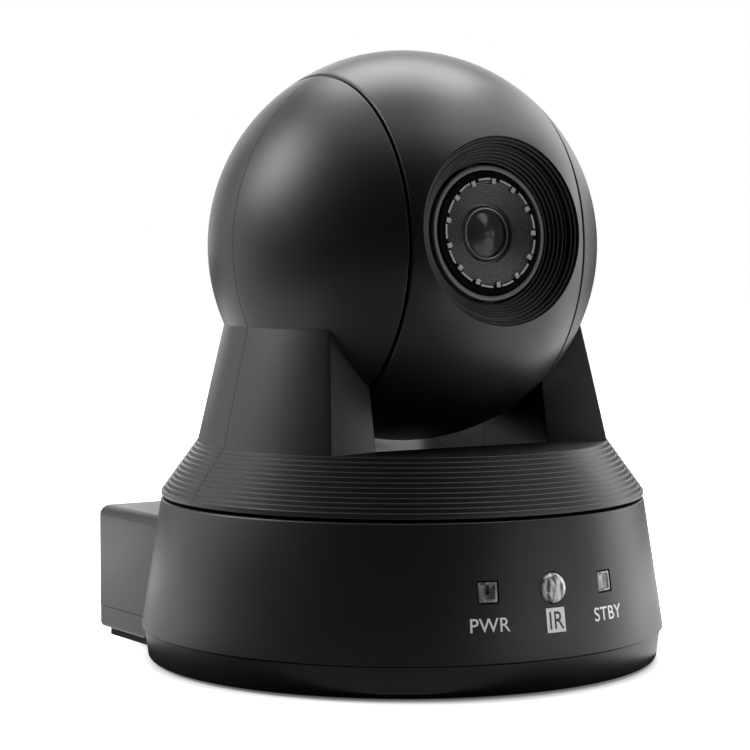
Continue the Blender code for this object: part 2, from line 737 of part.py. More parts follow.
def hub_radius():
    """Outer radius of the turntable hub, inside both bearing races."""
    return inner_race_radius() - INNER_RACE_WALL - GAP


def outer_race_bore():
    """Inner radius of the outer race."""
    return COLLAR_RADIUS - GAP - OUTER_RACE_WALL


def inner_race_radius():
    """Outer radius of the inner race."""
    return outer_race_bore() - GAP


def gear_top_z():
    """Top of the pan gear, below the bearing collar."""
    return BASE_TOP_Z - COLLAR_DROP - GEAR_DROP


def make_pan_bearing():
    """Two plain races around the hub."""
    top = BASE_TOP_Z - 0.4
    low = top - BEARING_HEIGHT
    for name, inner, outer in (
            ("pan_bearing_outer", outer_race_bore(), COLLAR_RADIUS - GAP),
            ("pan_bearing_inner", hub_radius() + GAP, inner_race_radius())):
        part(name, STEEL, turned, [(inner, top), (outer, top), (outer, low), (inner, low)],
             steps=RING_STEPS)


def make_turntable_hub():
    """Hollow hub with a flange that carries the yoke."""
    flange = BASE_TOP_Z + DECK_CLEARANCE
    top = flange + HUB_FLANGE_THICKNESS
    low = gear_top_z() - GEAR_THICKNESS - 1.0
    hub = part("turntable_hub", STEEL, turned, [
        (HUB_BORE_RADIUS, top), (HUB_FLANGE_RADIUS, top), (HUB_FLANGE_RADIUS, flange),
        (hub_radius(), flange), (hub_radius(), low), (HUB_BORE_RADIUS, low)], steps=RING_STEPS)
    for number, (x, y) in enumerate(hub_screw_places()):
        cut(hub, rod("hub_hole_%d" % number, SCREW_RADIUS + GAP, flange - 1, top + 1, FINE_STEPS,
                     (x, y)))


def hub_screw_places():
    """Where the yoke frame is screwed to the hub."""
    return [(x, y) for x in (-HUB_SCREW_X, HUB_SCREW_X) for y in (-HUB_SCREW_Y, HUB_SCREW_Y)]


def make_pan_drive():
    """Pan wheel on the hub, and the motor with its shaft and pinion in the base."""
    top = gear_top_z()
    low = top - GEAR_THICKNESS
    gear("pan_gear", WHEEL_TEETH, PAN_MODULE, PAN_MOTOR_ANGLE, hub_radius() + GAP, low, top)
    reach = centre_distance(PAN_MODULE)
    x, y = reach * math.cos(PAN_MOTOR_ANGLE), reach * math.sin(PAN_MOTOR_ANGLE)
    facing = PAN_MOTOR_ANGLE + math.pi + math.pi / PINION_TEETH
    gear("pan_pinion", PINION_TEETH, PAN_MODULE, facing, MOTOR_SHAFT_RADIUS + GAP, low, top,
         place=at(x, y, 0.0))
    boss_top = low - MOTOR_BELOW_GEAR
    can_top = boss_top - MOTOR_BOSS_HEIGHT
    motor = part("pan_motor", STEEL, turned, [
        (0.0, boss_top), (MOTOR_BOSS_RADIUS, boss_top), (MOTOR_BOSS_RADIUS, can_top),
        (PAN_MOTOR_RADIUS, can_top), (PAN_MOTOR_RADIUS, PAN_MOTOR_BOTTOM_Z),
        (0.0, PAN_MOTOR_BOTTOM_Z)], steps=RING_STEPS, place=at(x, y, 0.0))
    shaft_low = can_top - PAN_SHAFT_IN_MOTOR
    cut(motor, rod("pan_motor_bore", MOTOR_SHAFT_RADIUS + GAP, shaft_low - GAP, boss_top + 1,
                   FINE_STEPS, (x, y)))
    part("pan_motor_shaft", STEEL, rod, MOTOR_SHAFT_RADIUS, shaft_low, top + SHAFT_PAST_GEAR, FINE_STEPS,
         place=at(x, y, 0.0))


# ---------------------------------------------------------------- yoke

def ball(name, radius, turn=0.0, steps=BALL_STEPS, **options):
    """A ball about the tilt axis, turned about X so that its rings follow the tilt axis."""
    count = steps // 2
    arc = [(radius * math.sin(math.pi * i / count), radius * math.cos(math.pi * i / count))
           for i in range(count + 1)]
    arc[0] = (0.0, radius)
    arc[-1] = (0.0, -radius)
    place = along((1, 0, 0)) @ Matrix.Rotation(turn, 4, "Z")
    if "place" in options:
        place = options.pop("place") @ place
    return turned(name, arc, steps=steps, place=place, **options)


def arm_face_cutter(name, front, inset, side):
    """A half space in front of, or behind, one arm's leaning face."""
    offset = inset * math.hypot(1.0, math.hypot(ARM_FACE_PLAN, ARM_FACE_LEAN))
    normal = Vector((-side * ARM_FACE_PLAN, front, ARM_FACE_LEAN)).normalized()
    foot_y = front * (ARM_FACE_Y - offset)
    place = along(normal, (side * CAP_FACE_X, foot_y, SKIRT_TOP_Z))
    return block(name, (-REACH, -REACH, 0), (REACH, REACH, REACH), place=place)


def yoke_form(name, inset, **options):
    """Caps, arms and skirt as one solid; the hollow is the same form inset by the wall."""
    face_x = CAP_FACE_X + inset
    skirt_low = SKIRT_BOTTOM_Z - (2.0 if inset else 0.0)
    top_z = SKIRT_TOP_Z - inset
    drop = 1.0 if inset else 0.0
    form = turned(name, [
        (0.0, top_z), (SKIRT_TOP_RADIUS - inset - drop, top_z),
        (SKIRT_RADIUS - inset, SKIRT_EDGE_Z - drop), (SKIRT_RADIUS - inset, skirt_low),
        (0.0, skirt_low)], steps=RING_STEPS if inset else BASE_STEPS, **options)
    cut(form, trough(name + "_trough", inset))
    foot = SKIRT_TOP_Z - (8.0 if inset else 0.3)
    for side in (-1, 1):
        arm = turned("%s_arm_%d" % (name, side), [
            (0.0, ARM_TOP_Z), (ARM_TOP_RADIUS - inset, ARM_TOP_Z),
            (arm_radius(SKIRT_TOP_Z) - inset, SKIRT_TOP_Z),
            (arm_radius(SKIRT_TOP_Z) - inset, foot), (0.0, foot)],
            steps=RING_STEPS if inset else BASE_STEPS)
        keep(arm, block("%s_side_%d" % (name, side), (min(side * face_x, side * REACH), -REACH, 0),
                        (max(side * face_x, side * REACH), REACH, REACH)))
        for front in (-1, 1):
            cut(arm, arm_face_cutter("%s_face_%d_%d" % (name, side, front), front, inset, side))
        join(form, arm)
        cap = ball("%s_cap_%d" % (name, side), BALL_RADIUS - inset,
                   steps=HOLLOW_STEPS if inset else BALL_STEPS, place=at(0, 0, BALL_Z))
        keep(cap, block("%s_half_%d" % (name, side), (min(side * face_x, side * REACH), -REACH, 0),
                        (max(side * face_x, side * REACH), REACH, REACH)))
        join(form, cap)
    return form


def trough(name, inset):
    """Clearance for the ball between the arms, a bore about the tilt axis."""
    half = CAP_FACE_X + inset
    return rod(name, TROUGH_RADIUS + inset, -half, half, BASE_STEPS,
               place=along((1, 0, 0), (0, 0, BALL_Z)))


def make_yoke_shells():
    """Front and rear shells, split on the plane through the pan and tilt axes."""
    for name, front in (("yoke_front_shell", -1), ("yoke_rear_shell", 1)):
        shell = yoke_form(name, 0.0, material=BLACK_ABS, is_part=True)
        cut(shell, yoke_form(name + "_hollow", YOKE_WALL))
        cut(shell, rod(name + "_axle_hole", AXLE_HOLE_RADIUS, -CAP_FACE_X - 4, CAP_FACE_X + 4,
                       SMALL_STEPS, place=along((1, 0, 0), (0, 0, BALL_Z))))
        side = sorted((front * GAP / 2, front * REACH))
        keep(shell, block(name + "_split", (-REACH, side[0], 0), (REACH, side[1], REACH)))


def frame_plate_z():
    """Underside of the yoke frame, on top of the hub flange."""
    return BASE_TOP_Z + DECK_CLEARANCE + HUB_FLANGE_THICKNESS + GAP


def upright_x():
    """Inner face of the frame's uprights, just inside the caps' flat walls."""
    return CAP_FACE_X + YOKE_WALL + GAP


def make_yoke_frame():
    """Folded steel frame: a base plate on the hub and two uprights with bush holes."""
    low = frame_plate_z()
    outer = upright_x() + FRAME_SHEET
    frame = part("yoke_frame", STEEL, block, (-outer, -FRAME_BASE_HALF_DEPTH, low),
                 (outer, FRAME_BASE_HALF_DEPTH, low + FRAME_BASE_THICKNESS))
    for side in (-1, 1):
        edges = sorted((side * upright_x(), side * outer))
        join(frame, block("upright_%d" % side, (edges[0], -FRAME_HALF_DEPTH, low + 0.5),
                          (edges[1], FRAME_HALF_DEPTH, BALL_Z + FRAME_TOP_ABOVE_AXIS)))
    cut(frame, rod("frame_bush_holes", BUSH_RADIUS + GAP, -outer - 1, outer + 1, SMALL_STEPS,
                   place=along((1, 0, 0), (0, 0, BALL_Z))))
    cut(frame, rod("frame_cable_hole", HUB_BORE_RADIUS, low - 1, low + FRAME_BASE_THICKNESS + 1,
                   SMALL_STEPS))
    for number, (x, y) in enumerate(hub_screw_places()):
        cut(frame, rod("frame_hole_%d" % number, SCREW_RADIUS + GAP, low - 1,
                       low + FRAME_BASE_THICKNESS + 1, FINE_STEPS, (x, y)))


def make_hub_screws():
    """Four screws from the frame down into the hub flange."""
    top = frame_plate_z() + FRAME_BASE_THICKNESS + GAP + SCREW_HEAD_HEIGHT
    length = SCREW_HEAD_HEIGHT + FRAME_BASE_THICKNESS + HUB_FLANGE_THICKNESS + GAP
    for number, (x, y) in enumerate(hub_screw_places(), start=1):
        screw("hub_screw_%d" % number, length, along((0, 0, -1), (x, y, top)))


def make_bushes():
    """Flanged bushes in the uprights."""
    inner_face = upright_x() - GAP
    for name, side in (("tilt_bush_left", -1), ("tilt_bush_right", 1)):
        bore = AXLE_RADIUS + GAP
        flange = upright_x() + FRAME_SHEET + GAP
        part(name, ACETAL, turned, [
            (bore, flange + BUSH_FLANGE), (BUSH_FLANGE_RADIUS, flange + BUSH_FLANGE),
            (BUSH_FLANGE_RADIUS, flange), (BUSH_RADIUS, flange), (BUSH_RADIUS, inner_face),
            (bore, inner_face)], steps=SMALL_STEPS, place=along((side, 0, 0), (0, 0, BALL_Z)))


def tilt_gear_x():
    """Inner face of the tilt gear, outside the bush flange."""
    return upright_x() + FRAME_SHEET + GAP + BUSH_FLANGE + 0.4


def make_tilt_drive():
    """Motor with its shaft and pinion on the right upright, below the tilt gear."""
    low = tilt_gear_x()
    high = low + TILT_GEAR_THICKNESS
    pinion_z = BALL_Z - centre_distance(TILT_MODULE)
    place = along((1, 0, 0), (0, 0, pinion_z))
    local_up = place.inverted().to_3x3() @ Vector((0, 0, 1))
    up_angle = math.atan2(local_up.y, local_up.x)
    gear("tilt_pinion", PINION_TEETH, TILT_MODULE, up_angle + math.pi / PINION_TEETH,
         MOTOR_SHAFT_RADIUS + GAP, low, high, place=place)
    face = high + MOTOR_BELOW_GEAR
    motor = part("tilt_motor", STEEL, rod, TILT_MOTOR_RADIUS, face, face + TILT_MOTOR_LENGTH,
                 SMALL_STEPS, place=place)
    ear_low = (-MOTOR_EAR_HALF_LENGTH, -MOTOR_EAR_HALF_WIDTH)
    ear_high = (MOTOR_EAR_HALF_LENGTH, MOTOR_EAR_HALF_WIDTH)
    join(motor, block("tilt_motor_ears", (*ear_low, face), (*ear_high, face + MOTOR_EAR_THICKNESS),
                      place=place))
    foot = upright_x() + FRAME_SHEET + GAP
    for side in (-1, 1):
        join(motor, rod("tilt_motor_post_%d" % side, MOTOR_POST_RADIUS, foot, face + 0.5,
                        FINE_STEPS, (side * MOTOR_POST_Y, 0.0), place=place))
    shaft_end = face + TILT_SHAFT_IN_MOTOR
    cut(motor, rod("tilt_motor_bore", MOTOR_SHAFT_RADIUS + GAP, face - 1, shaft_end + GAP,
                   FINE_STEPS, place=place))
    part("tilt_motor_shaft", STEEL, rod, MOTOR_SHAFT_RADIUS, low - 0.4, shaft_end, FINE_STEPS,
         place=place)


# ---------------------------------------------------------------- head

def make_tilt_pivot():
    """Empty on the tilt axis; the head hangs on it, tilted up at rest."""
    pivot = bpy.data.objects.new("tilt_pivot", None)
    PARTS.objects.link(pivot)
    pivot.location = (0.0, 0.0, BALL_Z * MM)
    pivot.rotation_euler = (-REST_TILT, 0.0, 0.0)
    return pivot


def head_form(name, inset, pivot, **options):
    """The head's slice of the ball, between the caps."""
    half = CAP_FACE_X - HEAD_GAP - inset
    steps = HOLLOW_STEPS if inset else BALL_STEPS
    form = ball(name, BALL_RADIUS - inset, -REST_TILT, steps, parent=pivot, **options)
    keep(form, block(name + "_slice", (-half, -REACH, -REACH), (half, REACH, REACH),
                     parent=pivot))
    return form


def funnel_profile():
    """Stepped funnel from its floor to the rim on the ball, as (radius, distance)."""
    rim_d = math.sqrt(BALL_RADIUS ** 2 - RIM_RADIUS ** 2)
    points = [(FUNNEL_RADIUS, FUNNEL_FLOOR_D)]
    for step in range(FUNNEL_STEPS + 1):
        share = step / FUNNEL_STEPS
        radius = FUNNEL_RADIUS + (RIM_RADIUS - FUNNEL_RADIUS) * share
        if step:
            points.append((radius, points[-1][1]))
        if step < FUNNEL_STEPS:
            share = (step + 1) / (FUNNEL_STEPS + 1)
            points.append((radius, FUNNEL_D + (rim_d - FUNNEL_D) * share))
    return points


def make_head_shells(pivot):
    """Front shell with the lens funnel, and rear shell with two screw bosses."""
    lens = along((0, -1, 0))
    for name, front in (("head_front_shell", -1), ("head_rear_shell", 1)):
        shell = head_form(name, 0.0, pivot, material=BLACK_ABS, is_part=True)
        cut(shell, head_form(name + "_hollow", HEAD_WALL, pivot))
        cut(shell, rod(name + "_axle_holes", AXLE_HOLE_RADIUS, -CAP_FACE_X - 4, CAP_FACE_X + 4,
                       SMALL_STEPS, place=along((1, 0, 0)), parent=pivot))
        if front < 0:
            profile = funnel_profile()
            floor = FUNNEL_FLOOR_D - FUNNEL_WALL
            edge = profile[-1][1] - FUNNEL_WALL
            tube = FUNNEL_RADIUS + FUNNEL_WALL
            join(shell, turned("funnel_plug", [
                (0.0, edge), (RIM_RADIUS + FUNNEL_WALL * 0.8, edge),
                (tube, FUNNEL_D - FUNNEL_WALL), (tube, floor), (0.0, floor)],
                steps=RING_STEPS, place=lens, parent=pivot))
            outside = 2 * BALL_RADIUS
            hole = BARREL_RADIUS + 1.0
            cut(shell, turned("funnel_cut", [(0.0, outside), (RIM_RADIUS, outside)] + profile[::-1]
                              + [(hole, FUNNEL_FLOOR_D), (hole, floor - 1), (0.0, floor - 1)],
                              steps=RING_STEPS, place=lens, parent=pivot))
        else:
            for side in (-1, 1):
                spot = (side * HEAD_SCREW_X, 0.0, HEAD_SCREW_Z)
                place = along((0, 1, 0), spot)
                boss = rod("head_boss_%d" % side, HEAD_BOSS_RADIUS, CHASSIS_BACK_Y + GAP,
                           BALL_RADIUS - 6.0, FINE_STEPS, place=place, parent=pivot)
                join(shell, boss)
                cut(shell, rod("head_seat_%d" % side, SCREW_HEAD_RADIUS + GAP,
                               HEAD_SCREW_SEAT_Y - GAP, BALL_RADIUS, FINE_STEPS, place=place,
                               parent=pivot))
                cut(shell, rod("head_hole_%d" % side, SCREW_RADIUS + GAP, CHASSIS_BACK_Y - 1,
                               BALL_RADIUS, FINE_STEPS, place=place, parent=pivot))
        edges = sorted((HEAD_SPLIT_Y + front * GAP / 2, front * REACH))
        keep(shell, block(name + "_split", (-REACH, edges[0], -REACH), (REACH, edges[1], REACH),
                          parent=pivot))


def make_head_screws(pivot):
    """Two screws from the rear shell into the chassis tabs."""
    seat = HEAD_SCREW_SEAT_Y + SCREW_HEAD_HEIGHT
    length = seat - CHASSIS_BACK_Y + CHASSIS_SHEET
    for number, side in enumerate((-1, 1), start=1):
        spot = (side * HEAD_SCREW_X, seat, HEAD_SCREW_Z)
        screw("head_screw_%d" % number, length, along((0, -1, 0), spot), pivot)


def make_head_chassis(pivot):
    """Sheet chassis: floor under the lens, cheeks on the axles and tabs at the back."""
    half = CAP_FACE_X - HEAD_GAP - HEAD_WALL - GAP
    low = -LENS_TUBE_RADIUS - GAP - 1.2 - CHASSIS_SHEET
    top = low + CHASSIS_SHEET
    chassis = part("head_chassis", STEEL, block, (-half, CHASSIS_FRONT_Y, low),
                   (half, CHASSIS_BACK_Y, top), parent=pivot)
    for side in (-1, 1):
        edges = sorted((side * half, side * (half - CHASSIS_SHEET)))
        join(chassis, block("cheek_%d" % side, (edges[0], -CHASSIS_CHEEK_HALF, low + 0.4),
                            (edges[1], CHASSIS_CHEEK_HALF, CHASSIS_CHEEK_HALF), parent=pivot))
        centre = side * HEAD_SCREW_X
        join(chassis, block("tab_%d" % side,
                            (centre - TAB_HALF_WIDTH, CHASSIS_BACK_Y - CHASSIS_SHEET, low + 0.4),
                            (centre + TAB_HALF_WIDTH, CHASSIS_BACK_Y, low + TAB_HEIGHT),
                            parent=pivot))
        cut(chassis, rod("tab_hole_%d" % side, SCREW_RADIUS + GAP, CHASSIS_BACK_Y - 5,
                         CHASSIS_BACK_Y + 1, FINE_STEPS,
                         place=along((0, 1, 0), (centre, 0.0, HEAD_SCREW_Z)), parent=pivot))
    cut(chassis, rod("cheek_holes", AXLE_RADIUS + GAP, -half - 1, half + 1, SMALL_STEPS,
                     place=along((1, 0, 0)), parent=pivot))


def make_axles(pivot):
    """Hollow axles from the chassis cheeks out through the bushes."""
    cheek = CAP_FACE_X - HEAD_GAP - HEAD_WALL - GAP - CHASSIS_SHEET
    flange = cheek - GAP
    ends = {-1: tilt_gear_x() + 0.5, 1: tilt_gear_x() + GEAR_THICKNESS + 1.0}
    for name, side in (("tilt_axle_left", -1), ("tilt_axle_right", 1)):
        bore = AXLE_RADIUS - 2.0
        part(name, STEEL, turned, [
            (bore, ends[side]), (AXLE_RADIUS, ends[side]), (AXLE_RADIUS, flange),
            (AXLE_FLANGE_RADIUS, flange), (AXLE_FLANGE_RADIUS, flange - AXLE_FLANGE_THICKNESS),
            (bore, flange - AXLE_FLANGE_THICKNESS)], steps=SMALL_STEPS,
            place=along((side, 0, 0)), parent=pivot)


def make_tilt_gear(pivot):
    """Gear on the right axle; a tooth points straight down to the pinion at rest."""
    place = Matrix.Rotation(REST_TILT, 4, "X") @ along((1, 0, 0))
    local_down = along((1, 0, 0)).inverted().to_3x3() @ Vector((0, 0, -1))
    down_angle = math.atan2(local_down.y, local_down.x)
    low = tilt_gear_x()
    wheel = part("tilt_gear", ACETAL, flat_plate,
                 gear_outline(WHEEL_TEETH, TILT_MODULE, down_angle), low,
                 low + TILT_GEAR_THICKNESS, place=place, parent=pivot)
    cut(wheel, rod("tilt_gear_bore", AXLE_RADIUS + GAP, low - 1, low + GEAR_THICKNESS,
                   SMALL_STEPS, place=place, parent=pivot))


def make_lens(pivot):
    """Trim ring, barrel, front glass and lens tube with its moving groups and the sensor."""
    lens = along((0, -1, 0))
    options = {"place": lens, "parent": pivot}
    part("lens_trim_ring", SATIN_RING, turned, [
        (TRIM_INNER_RADIUS + TRIM_EDGE, TRIM_D), (TRIM_RADIUS - TRIM_EDGE, TRIM_D),
        (TRIM_RADIUS, TRIM_D - TRIM_EDGE), (TRIM_RADIUS, FUNNEL_FLOOR_D + GAP),
        (TRIM_INNER_RADIUS, FUNNEL_FLOOR_D + GAP), (TRIM_INNER_RADIUS, TRIM_D - TRIM_EDGE)],
        steps=RING_STEPS, **options)
    bore = GLASS_RADIUS + GAP
    seat = GLASS_D - GLASS_THICKNESS - GAP
    seat_bore = bore - GLASS_SEAT_WIDTH
    dish_z = BARREL_FRONT_D - BARREL_DISH
    part("lens_barrel", BLACK_PC, turned, [
        (bore, BEZEL_D), (BEZEL_RADIUS, BEZEL_D), (BEZEL_RADIUS, BARREL_FRONT_D - 0.3),
        (BARREL_RADIUS - 2.6, dish_z), (BARREL_RADIUS - 2.2, BARREL_FRONT_D),
        (BARREL_RADIUS, BARREL_FRONT_D), (BARREL_RADIUS, BARREL_BACK_D),
        (BARREL_RADIUS - BARREL_WALL, BARREL_BACK_D), (BARREL_RADIUS - BARREL_WALL, seat - 1.5),
        (seat_bore, seat - 1.5), (seat_bore, seat), (bore, seat)], steps=RING_STEPS, **options)
    crown = [(GLASS_RADIUS * math.cos(a), GLASS_D - GLASS_CROWN + GLASS_CROWN * math.sin(a))
             for a in (math.radians(90.0 * i / 4) for i in range(5))]
    crown[-1] = (0.0, GLASS_D)
    part("front_glass", COATED_GLASS, turned,
         crown[::-1] + [(GLASS_RADIUS, GLASS_D - GLASS_THICKNESS), (0.0, GLASS_D - GLASS_THICKNESS)],
         steps=SMALL_STEPS, **options)
    tube_front = BARREL_BACK_D - GAP
    tube_floor = LENS_TUBE_BACK_D + LENS_TUBE_FLOOR
    part("lens_tube", BLACK_PC, turned, [
        (LENS_TUBE_BORE, tube_front), (LENS_TUBE_RADIUS, tube_front),
        (LENS_TUBE_RADIUS, LENS_TUBE_BACK_D), (SENSOR_HOLE_RADIUS, LENS_TUBE_BACK_D),
        (SENSOR_HOLE_RADIUS, tube_floor), (LENS_TUBE_BORE, tube_floor)], steps=RING_STEPS, **options)
    for name, middle in (("zoom_group", ZOOM_GROUP_D), ("focus_group", FOCUS_GROUP_D)):
        half = LENS_GROUP_THICKNESS / 2
        rim = LENS_TUBE_BORE - GAP
        part(name, COATED_GLASS, turned, [
            (0.0, middle + half + GROUP_HUB_RISE), (GROUP_HUB_RADIUS * 0.6, middle + half + 1.0),
            (GROUP_HUB_RADIUS, middle + half), (rim, middle + half), (rim, middle - half),
            (0.0, middle - half)], steps=SMALL_STEPS, **options)
    width, thickness, height = SENSOR_BOARD_SIZE
    board_y = -LENS_TUBE_BACK_D + GAP
    part("sensor_board", BOARD, block, (-width / 2, board_y, -height / 2),
         (width / 2, board_y + thickness, height / 2), parent=pivot)
    width, thickness, height = SENSOR_SIZE
    part("image_sensor", BLACK_PC, block, (-width / 2, board_y - GAP - thickness, -height / 2),
         (width / 2, board_y - GAP, height / 2), parent=pivot)


# ---------------------------------------------------------------- assembly

def build():
    """Make every piece of the camera."""
    make_base_housing()
    make_bottom_tray()
    make_bottom_plate()
    make_foot_ring()
    make_tripod_insert()
    make_tray_screws()
    make_rear_panel()
    make_main_board()
    make_sockets()
    make_indicators()
    make_pan_bearing()
    make_turntable_hub()
    make_pan_drive()
    make_yoke_shells()
    make_yoke_frame()
    make_hub_screws()
    make_bushes()
    make_tilt_drive()
    pivot = make_tilt_pivot()
    make_head_shells(pivot)
    make_head_screws(pivot)
    make_head_chassis(pivot)
    make_axles(pivot)
    make_tilt_gear(pivot)
    make_lens(pivot)


build()
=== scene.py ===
"""Looks of a tabletop PTZ camera, laid out as an add-on and run as a script.

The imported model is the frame. Each piece here is made in metres in that frame, rides on a
body of it and, where it shows in its place, replaces the plain solid of the same part.
"""
import math

import bmesh
import bpy
from bpy.props import FloatProperty, FloatVectorProperty, IntProperty, PointerProperty, StringProperty
from mathutils import Matrix, Vector


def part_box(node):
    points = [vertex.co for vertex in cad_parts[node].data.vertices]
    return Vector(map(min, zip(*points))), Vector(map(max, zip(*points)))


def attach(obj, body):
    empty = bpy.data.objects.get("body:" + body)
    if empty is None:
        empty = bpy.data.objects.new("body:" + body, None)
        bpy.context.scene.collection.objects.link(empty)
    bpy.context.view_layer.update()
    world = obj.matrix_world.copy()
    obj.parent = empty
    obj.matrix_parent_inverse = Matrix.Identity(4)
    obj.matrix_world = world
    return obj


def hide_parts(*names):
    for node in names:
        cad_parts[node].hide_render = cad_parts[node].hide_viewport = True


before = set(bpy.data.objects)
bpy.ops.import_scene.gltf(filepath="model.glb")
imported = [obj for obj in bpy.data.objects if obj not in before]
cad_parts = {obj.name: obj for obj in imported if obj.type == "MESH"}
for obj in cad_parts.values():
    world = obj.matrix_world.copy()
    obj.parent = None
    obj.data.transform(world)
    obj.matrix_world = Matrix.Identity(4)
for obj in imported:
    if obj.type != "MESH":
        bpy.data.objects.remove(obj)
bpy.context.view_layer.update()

bl_info = {
    "name": "PTZ camera builder",
    "version": (1, 0, 0),
    "blender": (4, 5, 0),
    "location": "View3D > Sidebar > PTZ camera",
    "description": "Builds the outer pieces, finishes and studio of a tabletop PTZ camera",
    "category": "Add Mesh",
}

MM = 0.001
ROUND_STEPS = 192      # facets round the base, the skirt and the ball
INNER_STEPS = 48
SMALL_ROUND_STEPS = 48
LIFT = 0.00005                          # keeps faces of joined solids out of one plane
CLEAR = 0.0003                          # room round a piece that sits in another
FAR = 0.1                               # past the outside of every piece
HUB = 0.009                             # radius of the holes for the tilt axles


# ---------------------------------------------------------------- sizes that a user would change

def length(name, description, default):
    """A length property in metres."""
    return FloatProperty(name=name, description=description, default=default,
                         subtype="DISTANCE", unit="LENGTH", precision=5)


def colour(name, description, default):
    """An sRGB colour property written as a hex value."""
    return StringProperty(name=name, description=description, default=default)


def node_size(node):
    """Size of a part of the frame along X, Y and Z."""
    low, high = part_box(node)
    return [high[i] - low[i] for i in range(3)]


class BaseSizes(bpy.types.PropertyGroup):
    """Sizes of the base housing, the tray and the connector block."""
    radius: length("Radius", "Radius of the base at the seam", node_size("base_housing")[0] / 2)
    top_radius: length("Top radius", "Radius of the base under the skirt", 0.0693)
    seam_z: length("Seam height", "Height of the seam between housing and tray", 0.0095)
    top_z: length("Top height", "Height of the top edge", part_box("base_housing")[1][2])
    tray_z: length("Tray height", "Height of the underside of the tray",
                   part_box("bottom_tray")[0][2])
    wall: length("Wall", "Wall thickness of the covers", 0.0024)
    block_half: length("Block half width", "Half width of the connector block", 0.060)
    block_back: length("Block back", "Rear face of the connector block",
                       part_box("base_housing")[1][1])
    block_top: length("Block top", "Height of the connector block", 0.0398)
    block_edge: length("Block edge", "Radius of the block's long edges", 0.0033)
    indicator_z: length("Indicator height", "Height of the indicator windows", 0.028)
    indicator_angle: FloatProperty(name="Indicator angle", description="Angle of a window",
                                   default=math.radians(15.4), subtype="ANGLE")
    window: length("Window", "Side of an indicator window", 0.0054)
    receiver_radius: length("Receiver radius", "Radius of the receiver's dome", 0.004)
    label_z: length("Label height", "Height of the printed labels", 0.0196)


class YokeSizes(bpy.types.PropertyGroup):
    """Sizes of the skirt, the arms and the ball caps."""
    skirt_low: length("Skirt underside", "Height of the skirt's lower edge",
                      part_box("yoke_front_shell")[0][2])
    skirt_edge: length("Skirt edge", "Height where the ribs end", 0.0485)
    skirt_radius: length("Skirt radius", "Largest radius of the skirt", 0.0692)
    skirt_top_radius: length("Skirt top radius", "Radius at the top of the skirt", 0.0593)
    skirt_top: length("Skirt top", "Height of the ledge between the arms", 0.0622)
    ribs: IntProperty(name="Ribs", description="Ribs round the skirt", default=11, min=1)
    arm_top_radius: length("Arm top radius", "Radius of an arm where it meets the ball", 0.0511)
    arm_top: length("Arm top", "Height where an arm meets the ball", 0.0954)
    arm_half: length("Arm half depth", "Half depth of an arm at its inner foot", 0.0311)
    arm_plan: FloatProperty(name="Arm plan slope", description="How an arm's face runs back",
                            default=0.29)
    arm_lean: FloatProperty(name="Arm lean", description="How an arm's face leans in",
                            default=0.185)
    cap_face: length("Cap face", "Distance of a cap's flat side from the middle", 0.029)
    trough: length("Trough radius", "Radius of the trough below the ball", 0.0635)
    wall: length("Wall", "Wall thickness of the shells", 0.0023)
    seam: length("Seam", "Width of the seam between the shells", 0.00018)


class HeadSizes(bpy.types.PropertyGroup):
    """Sizes of the ball head and its lens."""
    radius: length("Ball radius", "Radius of the ball", 0.0557)
    axis_z: length("Tilt axis height", "Height of the tilt axis", 0.1177)
    half: length("Half width", "Half width of the head between the caps",
                 node_size("head_front_shell")[0] / 2)
    wall: length("Wall", "Wall thickness of the head", 0.0024)
    split: length("Split", "Where the front and the rear shell meet", 0.012)
    tilt: FloatProperty(name="Rest tilt", description="How far the lens looks up at rest",
                        default=math.radians(4.86), subtype="ANGLE")
    rim: length("Rim radius", "Radius of the funnel on the ball", 0.0257)
    funnel: length("Funnel radius", "Radius at the bottom of the funnel's steps", 0.0193)
    funnel_d: length("Funnel depth", "Distance of the lowest step from the centre", 0.0424)
    floor_d: length("Funnel floor", "Distance of the funnel's floor from the centre", 0.038)
    funnel_steps: IntProperty(name="Funnel steps", description="Steps of the funnel", default=8)
    ring: length("Ring radius", "Outer radius of the grey lens ring", 0.0186)
    ring_bore: length("Ring bore", "Inner radius of the grey lens ring", 0.017)
    ring_d: length("Ring face", "Distance of the ring's face from the centre", 0.0432)
    face_rise: length("Face rise", "How far the lens face stands out of the ring", 0.0004)
    glass: length("Glass radius", "Radius of the front glass", 0.0066)
    tabs: IntProperty(name="Tabs", description="Tabs round the lens face", default=13)


